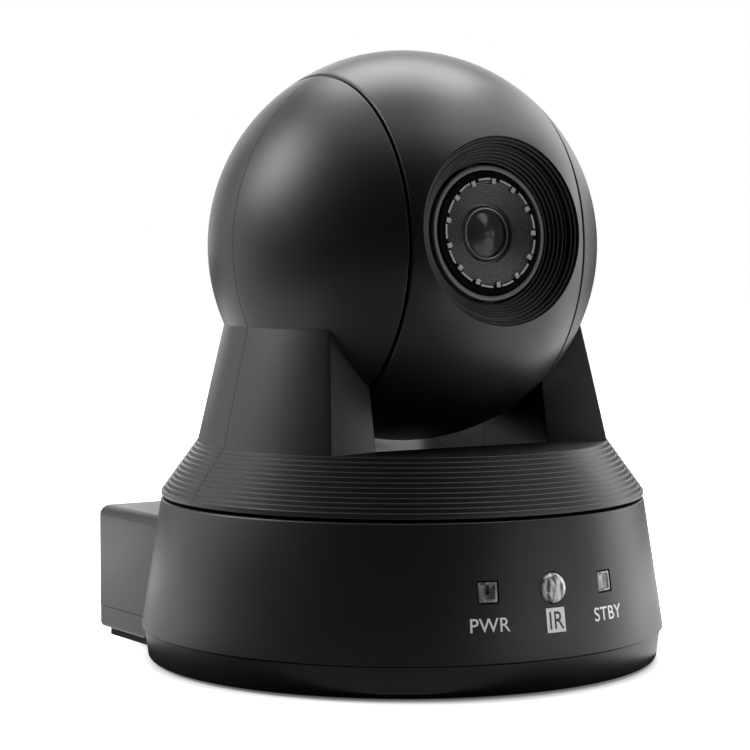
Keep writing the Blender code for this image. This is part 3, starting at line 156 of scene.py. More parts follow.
class FinishColours(bpy.types.PropertyGroup):
    """Colours of the finishes, as sRGB hex values."""
    abs_black: colour("ABS", "Black moulded ABS", "#0D0D0E")
    pc_black: colour("Polycarbonate", "Black smooth polycarbonate", "#0D0D0E")
    ring_grey: colour("Lens ring", "Satin grey lens ring", "#6A6A6B")
    baffle_black: colour("Baffle", "Black anodised lens face", "#080808")
    dish_grey: colour("Lens dish", "Grey anodised dish of the lens", "#606062")
    tab_grey: colour("Tabs", "Bright tabs round the lens face", "#A8A8AA")
    bezel_grey: colour("Bezel", "Polished bezel of the front glass", "#77777A")
    glass_grey: colour("Glass", "Coated front glass", "#323234")
    # The lighter window and dome colours are painted light shining through the acrylic.
    frosted_dark: colour("Frosted, dark", "Frosted windows where they are dark", "#4E4E4C")
    frosted_painted_light: colour("Frosted, light", "Frosted windows where they are light", "#A4A4A2")
    dome_dark: colour("Dome, dark", "Receiver's dome where it is dark", "#5C5C5A")
    dome_painted_light: colour("Dome, light", "Receiver's dome where it is light", "#E4E4E2")
    powder_black: colour("Powder coat", "Powder coated sheet steel", "#101011")
    epoxy_clear: colour("Epoxy", "Clear cast epoxy of the lamps", "#D8D8D2")
    print_white: colour("Print", "Pale screen print", "#F8F8F6")
    rubber_black: colour("Rubber", "Black rubber", "#101010")
    zinc: colour("Zinc", "Zinc plated steel", "#B9BBBE")
    brass: colour("Brass", "Turned brass", "#C9A25A")
    solder_mask: colour("Solder mask", "Green circuit board", "#0F4A2B")
    acetal: colour("Acetal", "Natural acetal", "#E2DFD6")
    floor: colour("Floor", "Pale studio floor", "#F4F4F2")


class StudioSettings(bpy.types.PropertyGroup):
    """Camera and light."""
    azimuth: FloatProperty(name="Azimuth", description="Direction the camera looks from",
                           default=math.radians(-33.5), subtype="ANGLE")
    distance: length("Distance", "Level distance from the pan axis", 0.680)
    height: length("Height", "Height of the camera", 0.1201)
    dip: FloatProperty(name="Dip", description="How far the camera looks down",
                       default=math.radians(3.321), subtype="ANGLE")
    turn: FloatProperty(name="Turn", description="How far the camera is turned to its left",
                        default=math.radians(0.658), subtype="ANGLE")
    focal: FloatProperty(name="Focal length", description="Focal length in mm", default=113.58)
    power: FloatProperty(name="Power", description="Radiance of the soft boxes", default=1.0)
    room: FloatVectorProperty(name="Room", description="Faint light from the dark room",
                              default=(0.02, 0.02, 0.02), subtype="COLOR")


# ---------------------------------------------------------------- placing and outlines

def along(direction, origin=(0.0, 0.0, 0.0)):
    """The placement that turns local +Z to a direction, at an origin."""
    turn = Vector(direction).to_track_quat("Z", "Y").to_matrix().to_4x4()
    return Matrix.Translation(Vector(origin)) @ turn


def shift(x, y, z):
    """A plain shift."""
    return Matrix.Translation(Vector((x, y, z)))


def soften(outline, steps=4):
    """A closed outline of (x, y, radius) corners, with each corner rounded by its radius."""
    points = []
    count = len(outline)
    for i, (x, y, radius) in enumerate(outline):
        corner = Vector((x, y))
        if radius <= 0.0:
            points.append((x, y))
            continue
        before = Vector(outline[i - 1][:2]) - corner
        after = Vector(outline[(i + 1) % count][:2]) - corner
        u, v = before.normalized(), after.normalized()
        half = math.acos(max(-1.0, min(1.0, u.dot(v)))) / 2
        if half > math.radians(88.0):
            points.append((x, y))
            continue
        reach = min(radius / math.tan(half), 0.48 * before.length, 0.48 * after.length)
        radius = reach * math.tan(half)
        centre = corner + (u + v).normalized() * (radius / math.sin(half))
        start, end = corner + u * reach - centre, corner + v * reach - centre
        sweep = start.angle_signed(end)
        for step in range(steps + 1):
            arm = start.copy()
            arm.rotate(Matrix.Rotation(-sweep * step / steps, 2))
            points.append(tuple(centre + arm))
    return points


def arc(radius, start, end, steps):
    """Points on a circle from one angle to another."""
    return [(radius * math.cos(start + (end - start) * i / steps),
             radius * math.sin(start + (end - start) * i / steps)) for i in range(steps + 1)]


# ---------------------------------------------------------------- solids

def new_solid(name, work, place=None):
    """Finish a bmesh into a linked object whose place is in its mesh."""
    if place is not None:
        work.transform(place)
    bmesh.ops.recalc_face_normals(work, faces=work.faces[:])
    mesh = bpy.data.meshes.new(name)
    work.to_mesh(mesh)
    work.free()
    obj = bpy.data.objects.new(name, mesh)
    bpy.context.scene.collection.objects.link(obj)
    return obj


def turned(name, profile, steps, place=None):
    """A turned solid about Z from (radius, height) points; points on the axis close it."""
    work = bmesh.new()
    rings = []
    for radius, height in profile:
        if radius < 1e-7:
            rings.append([work.verts.new((0.0, 0.0, height))])
            continue
        rings.append([work.verts.new((radius * math.cos(2 * math.pi * i / steps),
                                      radius * math.sin(2 * math.pi * i / steps), height))
                      for i in range(steps)])
    pairs = list(zip(rings, rings[1:]))
    if len(rings[0]) > 1 or len(rings[-1]) > 1:
        pairs.append((rings[-1], rings[0]))
    for low, high in pairs:
        for i in range(steps):
            j = (i + 1) % steps
            corners = [low[i % len(low)], low[j % len(low)], high[j % len(high)],
                       high[i % len(high)]]
            corners = [c for k, c in enumerate(corners) if c not in corners[:k]]
            if len(corners) > 2:
                work.faces.new(corners)
    return new_solid(name, work, place)


def lofted(name, sections, place=None):
    """A closed solid through sections with the same number of points, with flat ends."""
    work = bmesh.new()
    rows = [[work.verts.new(point) for point in section] for section in sections]
    count = len(rows[0])
    for low, high in zip(rows, rows[1:]):
        for i in range(count):
            j = (i + 1) % count
            work.faces.new((low[i], low[j], high[j], high[i]))
    work.faces.new(rows[0][::-1])
    work.faces.new(rows[-1])
    return new_solid(name, work, place)


def block(name, low, high, edges=0.0, place=None, steps=3, which=None):
    """A box between two corners; its edges, or those that which picks, are rounded."""
    low, high = Vector(low), Vector(high)
    work = bmesh.new()
    size = Matrix.Diagonal((*(high - low), 1.0))
    bmesh.ops.create_cube(work, size=1.0, matrix=Matrix.Translation((low + high) / 2) @ size)
    if edges:
        picked = [e for e in work.edges if which is None or which(*(v.co for v in e.verts))]
        bmesh.ops.bevel(work, geom=picked, offset=edges, segments=steps, profile=0.5,
                        affect="EDGES", clamp_overlap=True)
    return new_solid(name, work, place)


def rod(name, radius, low, high, steps=SMALL_ROUND_STEPS, centre=(0.0, 0.0), place=None):
    """A plain cylinder, used to cut holes or joined into a bigger form."""
    move = shift(centre[0], centre[1], 0.0)
    return turned(name, [(0.0, high), (radius, high), (radius, low), (0.0, low)], steps,
                  place @ move if place is not None else move)


def combine(target, tools, operation):
    """Apply exact Booleans of tools to a target, and remove the tools."""
    for tool in tools:
        boolean = target.modifiers.new(tool.name, "BOOLEAN")
        boolean.object = tool
        boolean.operation = operation
        boolean.solver = "EXACT"
        graph = bpy.context.evaluated_depsgraph_get()
        mesh = bpy.data.meshes.new_from_object(target.evaluated_get(graph))
        target.modifiers.clear()
        old = target.data
        target.data = mesh
        bpy.data.meshes.remove(old)
        bpy.data.objects.remove(tool, do_unlink=True)
    return target


def cut(target, *tools):
    """Take tools away from a target."""
    return combine(target, tools, "DIFFERENCE")


def join(target, *tools):
    """Unite tools with a target."""
    return combine(target, tools, "UNION")


def half_of(source, name, point, normal):
    """A copy of a closed solid, cut off at a plane and closed again."""
    work = bmesh.new()
    work.from_mesh(source.data)
    geometry = work.verts[:] + work.edges[:] + work.faces[:]
    result = bmesh.ops.bisect_plane(work, geom=geometry, plane_co=point, plane_no=normal,
                                    clear_outer=True, dist=1e-7)
    rim = [e for e in result["geom_cut"] if isinstance(e, bmesh.types.BMEdge)]
    bmesh.ops.triangle_fill(work, edges=rim, use_beauty=True)
    return new_solid(name, work)


def remove(*objects):
    """Remove objects that were only a step on the way."""
    for obj in objects:
        bpy.data.objects.remove(obj, do_unlink=True)


def finish_piece(obj, name, body, material, nodes=(), angle=28.0):
    """Name a piece, shade it, give it its finish and tie it to the frame."""
    obj.name = name
    obj.data.name = name
    obj.data.materials.clear()
    obj.data.materials.append(material)
    obj.data.shade_smooth()
    obj.data.set_sharp_from_angle(angle=math.radians(angle))
    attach(obj, body)
    if nodes:
        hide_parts(*nodes)
    return obj


# ---------------------------------------------------------------- finishes

def linear(hex_value):
    """Linear RGBA of an sRGB hex colour."""
    channels = [int(hex_value[i:i + 2], 16) / 255.0 for i in (1, 3, 5)]
    return [c / 12.92 if c <= 0.04045 else ((c + 0.055) / 1.055) ** 2.4 for c in channels] + [1.0]


def add_node(tree, kind, settings=None, links=None):
    """Add a node, set its properties and input values, and link inputs from outputs."""
    node = tree.nodes.new(kind)
    for key, value in (settings or {}).items():
        if isinstance(key, int) or key in node.inputs:
            node.inputs[key].default_value = value
        else:
            setattr(node, key, value)
    for key, source in (links or {}).items():
        tree.links.new(source, node.inputs[key])
    return node


# Colour sockets of the Mix node: its two inputs and its result.
MIX_A, MIX_B, MIX_RESULT = 6, 7, 2


def per_mm(size_mm):
    """Pattern scale for features of a size in millimetres, as coordinates are in metres."""
    return 1000.0 / size_mm


def tint(base, share):
    """A linear colour made darker or lighter by a share."""
    return [c * share for c in base[:3]] + [1.0]


def new_material(name, settings):
    """A material with a Principled shader, its tree, the shader and object coordinates."""
    material = bpy.data.materials.new(name)
    material.use_nodes = True
    tree = material.node_tree
    shader = tree.nodes["Principled BSDF"]
    for key, value in settings.items():
        shader.inputs[key].default_value = value
    place = add_node(tree, "ShaderNodeTexCoord").outputs["Object"]
    return material, tree, shader, place


def dress(tree, shader, dull=None, tone=None, relief=None):
    """Vary a shader by patterns, each given as a pattern's output and its values. These are, for
    dull, the pattern's low and high and the roughness at each; for tone, two colours; for
    relief, a height in millimetres and a strength. Returns the varied colour."""
    result = None
    if dull:
        source, low, high, smooth, rough = dull
        span = add_node(tree, "ShaderNodeMapRange", {
            "From Min": low, "From Max": high, "To Min": smooth, "To Max": rough},
            {"Value": source})
        tree.links.new(span.outputs["Result"], shader.inputs["Roughness"])
    if tone:
        source, dark, light = tone
        mix = add_node(tree, "ShaderNodeMix", {"data_type": "RGBA", MIX_A: dark, MIX_B: light},
                       {"Factor": source})
        result = mix.outputs[MIX_RESULT]
        tree.links.new(result, shader.inputs["Base Color"])
    if relief:
        source, height_mm, strength = relief
        bump = add_node(tree, "ShaderNodeBump", {
            "Strength": strength, "Distance": height_mm * MM}, {"Height": source})
        tree.links.new(bump.outputs["Normal"], shader.inputs["Normal"])
    return result


def moulded_plastic(name, hex_value, roughness, grain_mm, grain_height_mm, specks=0.0):
    """Injection moulded plastic: a spark-eroded grain, slight flow marks and a little dust."""
    base = linear(hex_value)
    material, tree, shader, place = new_material(name, {"IOR": 1.50, "Roughness": roughness})
    grain = add_node(tree, "ShaderNodeTexNoise", {
        "Scale": per_mm(grain_mm), "Detail": 3.0, "Roughness": 0.6}, {"Vector": place})
    flow = add_node(tree, "ShaderNodeTexNoise", {
        "Scale": per_mm(38.0), "Detail": 2.0}, {"Vector": place})
    plain = dress(tree, shader,
                  (flow.outputs["Fac"], 0.3, 0.7, roughness - 0.03, roughness + 0.04),
                  (grain.outputs["Fac"], tint(base, 0.85), tint(base, 1.18)),
                  (grain.outputs["Fac"], grain_height_mm, 1.0))
    if specks:
        # One speck in each cell of about 4 mm, 0.14 mm in radius.
        dust = add_node(tree, "ShaderNodeTexVoronoi", {
            "Scale": per_mm(4.0), "Randomness": 1.0}, {"Vector": place})
        small = add_node(tree, "ShaderNodeMath", {"operation": "LESS_THAN", 1: 0.035},
                         {0: dust.outputs["Distance"]})
        speck = add_node(tree, "ShaderNodeMix", {
            "data_type": "RGBA", MIX_B: [c + specks for c in base[:3]] + [1.0]},
            {"Factor": small.outputs[0], MIX_A: plain})
        tree.links.new(speck.outputs[MIX_RESULT], shader.inputs["Base Color"])
    return material


def worked_metal(name, hex_value, roughness, line_mm, stretch, height_mm, metallic=1.0):
    """Metal with fine tool or rolling marks, longer along one direction."""
    base = linear(hex_value)
    material, tree, shader, place = new_material(name, {"Metallic": metallic})
    scaled = add_node(tree, "ShaderNodeMapping", {"Scale": stretch}, {"Vector": place})
    marks = add_node(tree, "ShaderNodeTexNoise", {"Scale": per_mm(line_mm), "Detail": 4.0},
                     {"Vector": scaled.outputs["Vector"]})
    stain = add_node(tree, "ShaderNodeTexNoise", {"Scale": per_mm(9.0), "Detail": 3.0},
                     {"Vector": place})
    dress(tree, shader, (marks.outputs["Fac"], 0.25, 0.75, roughness - 0.06, roughness + 0.08),
          (stain.outputs["Fac"], tint(base, 0.86), tint(base, 1.08)),
          (marks.outputs["Fac"], height_mm, 1.0))
    return material


def clear_plastic(name, hex_value, roughness, transmission, grain_mm, height_mm):
    """Cast or moulded clear plastic, with a faint unevenness in its surface."""
    material, tree, shader, place = new_material(name, {
        "Base Color": linear(hex_value), "IOR": 1.49, "Transmission Weight": transmission})
    waves = add_node(tree, "ShaderNodeTexNoise", {"Scale": per_mm(grain_mm), "Detail": 1.0},
                     {"Vector": place})
    dress(tree, shader, (waves.outputs["Fac"], 0.3, 0.7, roughness * 0.7, roughness * 1.3),
          relief=(waves.outputs["Fac"], height_mm, 1.0))
    return material


def flock(name, hex_value):
    """Short black fibres glued to a surface: no gloss, an uneven pile, a trace of sheen."""
    base = linear(hex_value)
    material, tree, shader, place = new_material(name, {
        "Roughness": 0.95, "Specular IOR Level": 0.08, "Sheen Weight": 0.02})
    pile = add_node(tree, "ShaderNodeTexNoise", {"Scale": per_mm(0.3), "Detail": 3.0},
                    {"Vector": place})
    dress(tree, shader, None, (pile.outputs["Fac"], tint(base, 0.4), tint(base, 1.6)),
          (pile.outputs["Fac"], 0.05, 1.0))
    return material


def coated_glass(name, hex_value, roughness, ior):
    """Dark optical glass with a clear coat; faint cloudiness and a bloom that varies slowly."""
    base = linear(hex_value)
    material, tree, shader, place = new_material(name, {
        "Roughness": roughness, "IOR": 1.35, "Coat Weight": 0.06, "Coat Roughness": 0.08,
        "Coat IOR": ior})
    bloom = add_node(tree, "ShaderNodeTexNoise", {"Scale": per_mm(5.0), "Detail": 1.0},
                     {"Vector": place})
    dress(tree, shader, None, (bloom.outputs["Fac"], tint(base, 0.6), tint(base, 1.5)))
    return material


def acrylic_with_painted_light(name, dark, light, streak_mm, stretch, roughness):
    """Moulded acrylic with painted light: soft lighter streaks under a glossy face stand in for light
    shining through it.
    """
    material, tree, shader, place = new_material(name, {
        "Roughness": roughness, "IOR": 1.49, "Coat Weight": 0.6, "Coat Roughness": roughness * 0.5})
    scaled = add_node(tree, "ShaderNodeMapping", {"Scale": stretch}, {"Vector": place})
    painted_light_streak = add_node(tree, "ShaderNodeTexNoise", {"Scale": per_mm(streak_mm), "Detail": 1.5},
                      {"Vector": scaled.outputs["Vector"]})
    # Painted light: the lighter colour in the streaks stands in for light shining through the
    # acrylic.
    painted_light_mask = add_node(tree, "ShaderNodeMapRange", {"From Min": 0.38, "From Max": 0.62},
                     {"Value": painted_light_streak.outputs["Fac"]})
    dress(tree, shader, None, (painted_light_mask.outputs["Result"], linear(dark), linear(light)),
          (painted_light_streak.outputs["Fac"], 0.02, 0.6))
    return material


def etched_board(name, hex_value):
    """Printed circuit board: solder mask over copper tracks on a 1.3 mm grid."""
    base = linear(hex_value)
    material, tree, shader, place = new_material(name, {"Roughness": 0.38, "IOR": 1.55})
    tracks = add_node(tree, "ShaderNodeTexBrick", {
        "Scale": per_mm(5.2), "Mortar Size": 0.05, "Mortar Smooth": 0.1, "Brick Width": 0.5,
        "Row Height": 0.25, "Color1": base, "Color2": tint(base, 0.8),
        "Mortar": tint(base, 2.2)}, {"Vector": place})
    tree.links.new(tracks.outputs["Color"], shader.inputs["Base Color"])
    dress(tree, shader, relief=(tracks.outputs["Fac"], 0.03, 0.6))
    return material


FINISHES = {}


def make_finishes():
    """All finishes, named for the real material and how its surface was made."""
    colours = bpy.context.scene.ptz_colours
    # Spark-eroded mould texture: an even soft sheen with no clear reflections. The real grain of
    # about 0.1 mm is drawn at 0.3 mm, the finest that shows.
    FINISHES["abs"] = moulded_plastic("ABS_spark_textured", colours.abs_black, 0.40, 0.30, 0.010,
                                      0.03)
    # The same ABS from a finer mould: smoother on the ball, so its highlights are clean.
    FINISHES["ball"] = moulded_plastic("ABS_fine_textured", colours.abs_black, 0.38, 0.30, 0.005,
                                       0.02)
    # Polycarbonate from a polished mould, half matte.
    FINISHES["pc"] = moulded_plastic("polycarbonate_moulded", colours.pc_black, 0.30, 0.5, 0.004)
    # Bead-blasted and anodised ring: satin, with a fine grain.
    FINISHES["ring"] = worked_metal("aluminium_satin_anodised", colours.ring_grey, 0.38, 0.25,
                                    (1, 1, 1), 0.006, 0.6)
    # Flocked baffle against stray light: it gives almost nothing back.
    FINISHES["baffle"] = flock("baffle_black_flocked", colours.baffle_black)
    # The dish is turned and left silvery grey; its grooves are real.
    FINISHES["turned"] = worked_metal("aluminium_grey_anodised", colours.dish_grey, 0.27, 0.4,
                                      (1, 1, 1), 0.003, 0.5)
    # Milled tabs, paler and duller than the dish, so that they stand out from it.
    FINISHES["tabs"] = worked_metal("aluminium_bright_tabs", colours.tab_grey, 0.42, 0.3,
                                    (1, 1, 1), 0.003, 0.3)
    # Polished edge round the front glass: a thin bright line.
    FINISHES["bezel"] = worked_metal("aluminium_polished_bezel", colours.bezel_grey, 0.16, 0.4,
                                     (1, 1, 1), 0.002, 0.7)
    # Coated glass seen from outside: a dark neutral grey body under a clear polished face.
    FINISHES["glass"] = coated_glass("optical_glass_coated", colours.glass_grey, 0.22, 1.62)
    # Diffusing acrylic: light grey, a little soft; its lighter streaks are painted light shining
    # through it.
    FINISHES["frosted"] = acrylic_with_painted_light("acrylic_frosted", colours.frosted_dark,
                                           colours.frosted_painted_light, 1.2, (1, 1, 0.2), 0.30)
    # Clear receiver dome: upright pale streaks behind a polished face, painted light seen through the
    # clear dome.
    FINISHES["dome"] = acrylic_with_painted_light("acrylic_clear_moulded", colours.dome_dark,
                                        colours.dome_painted_light, 1.1, (1, 1, 0.15), 0.08)
    # Powder coat on sheet steel, with a slight orange peel.
    FINISHES["powder"] = moulded_plastic("steel_powder_coated", colours.powder_black, 0.50,
                                         0.8, 0.02)
    # Rolled or turned steel, zinc plated: bright, cool grey, with fine marks along it.
    FINISHES["zinc"] = worked_metal("steel_zinc_plated", colours.zinc, 0.34, 0.5, (1, 5, 1), 0.006)
    # Turned brass: warm, with tool marks round it.
    FINISHES["brass"] = worked_metal("brass_turned", colours.brass, 0.28, 0.4, (1, 1, 6), 0.006)
    # Compression moulded rubber: matte, almost no highlight.
    FINISHES["rubber"] = moulded_plastic("rubber_moulded", colours.rubber_black, 0.78, 0.35, 0.02)
    # Etched board under green solder mask: raised tracks under a half-gloss coat.
    FINISHES["board"] = etched_board("circuit_board_solder_mask", colours.solder_mask)
    # Moulded acetal: waxy, off-white.
    FINISHES["acetal"] = moulded_plastic("acetal_moulded", colours.acetal, 0.36, 0.6, 0.004)
    # Screen printed ink: a flat, pale film.
    FINISHES["print"] = moulded_plastic("ink_screen_printed", colours.print_white, 0.55, 0.25,
                                        0.004)
    # Cast epoxy of the lamps: clear, with a slight haze.
    FINISHES["lamp"] = clear_plastic("epoxy_cast", colours.epoxy_clear, 0.12, 0.6, 0.8,
                                     0.01)


# ---------------------------------------------------------------- base

def cone_radius(z):
    """Outer radius of the base cone at a height."""
    sizes = bpy.context.scene.ptz_base
    share = (z - sizes.seam_z) / (sizes.top_z - sizes.seam_z)
    return sizes.radius + (sizes.top_radius - sizes.radius) * share


def on_cone(angle, z, lift=0.0):
    """The placement on the base cone: local X to the right, Y up the wall, Z outwards."""
    sizes = bpy.context.scene.ptz_base
    slope = math.atan2(sizes.radius - sizes.top_radius, sizes.top_z - sizes.seam_z)
    outward = Vector((math.sin(angle) * math.cos(slope), -math.cos(angle) * math.cos(slope),
                      math.sin(slope)))
    side = Vector((math.cos(angle), math.sin(angle), 0.0))
    up = outward.cross(side)
    turn = Matrix((side, up, outward)).transposed().to_4x4()
    radius = cone_radius(z)
    spot = Vector((math.sin(angle) * radius, -math.cos(angle) * radius, z)) + outward * lift
    return Matrix.Translation(spot) @ turn


def connector_block(name, inset, low, high, edge):
    """The block behind the base, with its long and upright edges rounded."""
    sizes = bpy.context.scene.ptz_base
    half = sizes.block_half - inset
    back = sizes.block_back - inset

    def outer(a, b):
        return is_upright(a, b) or (min(a.z, b.z) > high - 1e-6 and max(a.y, b.y) > 0.01)
    return block(name, (-half, 0.0, low), (half, back, high), edge, steps=6, which=outer)


def panel_opening():
    """Low and high corners (x, z) of the rear panel's opening."""
    low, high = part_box("rear_panel")
    return (low[0] - CLEAR, low[2] - CLEAR), (high[0] + CLEAR, high[2] + CLEAR)


def middle_of(node):
    """Middle of a part of the frame in x and y."""
    low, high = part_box(node)
    return (low[0] + high[0]) / 2, (low[1] + high[1]) / 2


def is_upright(a, b):
    """Whether an edge between two corners of a box runs up and down, behind the cone's middle."""
    return abs(a.z - b.z) > 1e-6 and a.y > 0.01


class PTZ_OT_base_housing(bpy.types.Operator):
    """Upper base cover with its connector block and the openings for the windows"""
    bl_idname = "ptz.base_housing"
    bl_label = "Base housing"

    def execute(self, context):
        sizes = context.scene.ptz_base
        top, low, wall = sizes.top_z, sizes.seam_z, sizes.wall
        lip = 0.0007
        profile = soften([(0.0, top, 0.0), (sizes.top_radius, top, lip), (sizes.radius, low, 0.0002),
                          (0.0, low, 0.0)])
        housing = turned("housing", profile, ROUND_STEPS)
        box = connector_block("housing_block", 0.0, low - 0.01, sizes.block_top, sizes.block_edge)
        cut(box, block("below", (-FAR, -FAR, -FAR), (FAR, FAR, low + LIFT)))
        join(housing, box)
        inner_top = top - 0.0025
        hollow = turned("hollow", [(0.0, inner_top), (cone_radius(inner_top) - wall, inner_top),
                                   (cone_radius(low) - wall, low - 0.001), (0.0, low - 0.001)],
                        INNER_STEPS)
        join(hollow, connector_block("hollow_block", wall, low - 0.002, sizes.block_top - wall,
                                     0.0))
        cut(housing, hollow)
        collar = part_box("pan_bearing_outer")[1][0] + CLEAR
        join(housing, rod("collar", collar + 0.003, top - 0.010, top - 0.0005, INNER_STEPS * 2))
        cut(housing, rod("bearing_hole", collar, top - 0.02, top + 0.001, INNER_STEPS * 2))
        hole = sizes.window / 2 + 0.00032
        for side in (-1, 1):
            place = on_cone(side * sizes.indicator_angle, sizes.indicator_z)
            cut(housing, block("window_hole", (-hole, -hole, -0.006), (hole, hole, 0.002), 0.0004,
                               place, which=lambda a, b: abs(a.z - b.z) > 0.001))
        cut(housing, rod("receiver_hole", sizes.receiver_radius + CLEAR, -0.006, 0.002,
                         place=on_cone(0.0, sizes.indicator_z)))
        (x0, z0), (x1, z1) = panel_opening()
        back = sizes.block_back
        cut(housing, block("panel_hole", (x0, back - 2 * wall, z0), (x1, back + 0.001, z1), 0.0008,
                           which=lambda a, b: abs(a.y - b.y) > 0.001))
        finish_piece(housing, "base_cover_upper", "base", FINISHES["abs"],
                     ["base_housing"])
        return {"FINISHED"}


class PTZ_OT_base_tray(bpy.types.Operator):
    """Lower base cover, a shallow tub that runs in under the seam"""
    bl_idname = "ptz.base_tray"
    bl_label = "Base tray"

    def execute(self, context):
        sizes = context.scene.ptz_base
        top = sizes.seam_z - 0.00022
        low, wall = sizes.tray_z, sizes.wall
        radius = sizes.radius - 0.0008      # the tray stands back under the seam
        foot = radius - 0.0011
        rim = 0.0007                        # the rim hides most of the rubber foot
        profile = soften([(0.0, top, 0.0), (radius, top, 0.0002), (foot, rim, 0.0016),
                          (foot - 0.0020, rim, 0.0002), (foot - 0.0024, low, 0.0),
                          (0.0, low, 0.0)], 6)
        tray = turned("tray", profile, ROUND_STEPS)
        half, back = sizes.block_half - 0.0005, sizes.block_back - 0.0005

        def lower(a, b):
            return is_upright(a, b) or (max(a.z, b.z) < low + 0.001 and max(a.y, b.y) > 0.01)
        box = block("tray_block", (-half, 0.0, low + LIFT), (half, back, top + 0.01), 0.0016,
                    steps=5, which=lower)
        cut(box, block("above", (-FAR, -FAR, top - LIFT), (FAR, FAR, FAR)))
        join(tray, box)
        floor = low + wall
        hollow = turned("hollow", [(0.0, top + 0.001), (radius - wall, top + 0.001),
                                   (foot - wall, floor), (0.0, floor)], INNER_STEPS)
        join(hollow, block("hollow_block", (wall - half, 0.0, floor + LIFT),
                           (half - wall, back - wall, top + 0.002)))
        cut(tray, hollow)
        for number in range(1, 5):
            spot = middle_of("tray_screw_%d" % number)
            cut(tray, rod("hole", 0.0018, 0.0, floor + 0.001, 24, spot))
        cut(tray, rod("hole", 0.0054, 0.0, floor + 0.001, 32, middle_of("tripod_insert")))
        finish_piece(tray, "base_cover_lower", "base", FINISHES["abs"],
                     ["bottom_tray"])
        return {"FINISHED"}


# ---------------------------------------------------------------- yoke

def arm_section(z, side, inset):
    """Outline of an arm at a height: flat inner face, two slanting faces and a round back."""
    sizes = bpy.context.scene.ptz_yoke
    share = (z - sizes.skirt_top) / (sizes.arm_top - sizes.skirt_top)
    foot = sizes.skirt_top_radius - 0.0005      # stands inside the edge of the top rib
    radius = foot + (sizes.arm_top_radius - foot) * share - inset
    plan = sizes.arm_plan
    lengthen = math.hypot(1.0, math.hypot(plan, sizes.arm_lean))
    half = sizes.arm_half - sizes.arm_lean * (z - sizes.skirt_top) - inset * lengthen
    inner = sizes.cap_face + inset
    start = half + plan * (inner - sizes.cap_face)
    # The slanting face meets the round back where a x^2 + b x + c is nought.
    a = 1 + plan * plan
    b = 2 * plan * (half - plan * sizes.cap_face)
    c = (half - plan * sizes.cap_face) ** 2 - radius * radius
    x = (-b + math.sqrt(b * b - 4 * a * c)) / (2 * a)
    y = half + plan * (x - sizes.cap_face)
    corner = math.atan2(y, x)
    edge = 0.0 if inset else 0.0005
    outline = [(inner, -start, edge), (x, -y, edge)]
    outline += [(px, py, 0.0) for px, py in arc(radius, -corner, corner, 36)[1:-1]]
    outline += [(x, y, edge), (inner, start, edge)]
    points = soften(outline, 3) if edge else [(px, py) for px, py, _ in outline]
    return [(side * px, py, z) for px, py in (points if side > 0 else points[::-1])]


def rib_profile():
    """Outer line of the skirt from its top edge down: each rib is an upright step."""
    sizes = bpy.context.scene.ptz_yoke
    drop = (sizes.skirt_top - sizes.skirt_edge) / sizes.ribs
    grow = (sizes.skirt_radius - sizes.skirt_top_radius) / sizes.ribs
    tread = grow * 0.80
    points = [(sizes.skirt_top_radius, sizes.skirt_top, 0.00025)]
    for rib in range(sizes.ribs):
        radius = sizes.skirt_top_radius + grow * rib
        foot = sizes.skirt_top - drop * (rib + 1)
        points.append((radius + grow - tread, foot + drop * 0.10, 0.00005))
        if rib < sizes.ribs - 1:
            points.append((radius + grow, foot, 0.00028))
    points.append((sizes.skirt_radius, sizes.skirt_edge, 0.0003))
    return points


def yoke_outer():
    """Skirt, arms and caps as one closed solid."""
    sizes = bpy.context.scene.ptz_yoke
    profile = [(0.0, sizes.skirt_top, 0.0)] + rib_profile()
    profile += [(sizes.skirt_radius, sizes.skirt_low, 0.0004), (0.0, sizes.skirt_low, 0.0)]
    form = turned("skirt", soften(profile, 3), ROUND_STEPS)
    cut(form, trough_rod(0.0))
    levels = [sizes.skirt_top + rise for rise in (-0.0006, 0.0004, 0.0110, 0.0220)]
    levels += [sizes.arm_top - 0.0040, sizes.arm_top]
    for side in (-1, 1):
        join(form, lofted("arm", [arm_section(z, side, 0.0) for z in levels]))
        join(form, cap_solid(side, 0.0, ROUND_STEPS))
    return form


def trough_rod(inset):
    """The bore about the tilt axis that clears the ball."""
    sizes, head = bpy.context.scene.ptz_yoke, bpy.context.scene.ptz_head
    half = sizes.cap_face + inset
    return rod("trough", sizes.trough + inset, -half, half, ROUND_STEPS,
               place=along((1, 0, 0), (0, 0, head.axis_z)))


def cap_solid(side, inset, steps):
    """One ball cap, turned about the tilt axis, with a small radius on its rim."""
    sizes, head = bpy.context.scene.ptz_yoke, bpy.context.scene.ptz_head
    radius = head.radius - inset
    face = sizes.cap_face + inset
    start = math.acos(face / radius)
    ball = [(y, x, 0.0) for x, y in arc(radius, 0.0, start, steps // 4)]
    ball[-1] = (ball[-1][0], ball[-1][1], 0.0 if inset else 0.0006)
    outline = soften([(0.0, face, 0.0)] + ball[::-1], 4)
    outline[-1] = (0.0, radius)
    return turned("cap", outline, steps, along((side, 0, 0), (0, 0, head.axis_z)))


def yoke_hollow():
    """The space inside the shells."""
    sizes = bpy.context.scene.ptz_yoke
    wall = sizes.wall
    top = sizes.skirt_top - wall
    form = turned("hollow", [
        (0.0, top), (sizes.skirt_top_radius - wall - 0.001, top),
        (sizes.skirt_radius - wall, sizes.skirt_edge - 0.001),
        (sizes.skirt_radius - wall, sizes.skirt_low - 0.002), (0.0, sizes.skirt_low - 0.002)],
        INNER_STEPS)
    cut(form, trough_rod(wall))
    for side in (-1, 1):
        join(form, lofted("arm", [arm_section(z, side, wall) for z in
                                  (sizes.skirt_top - 0.008, sizes.arm_top)]))
        join(form, cap_solid(side, wall, INNER_STEPS))
    return form


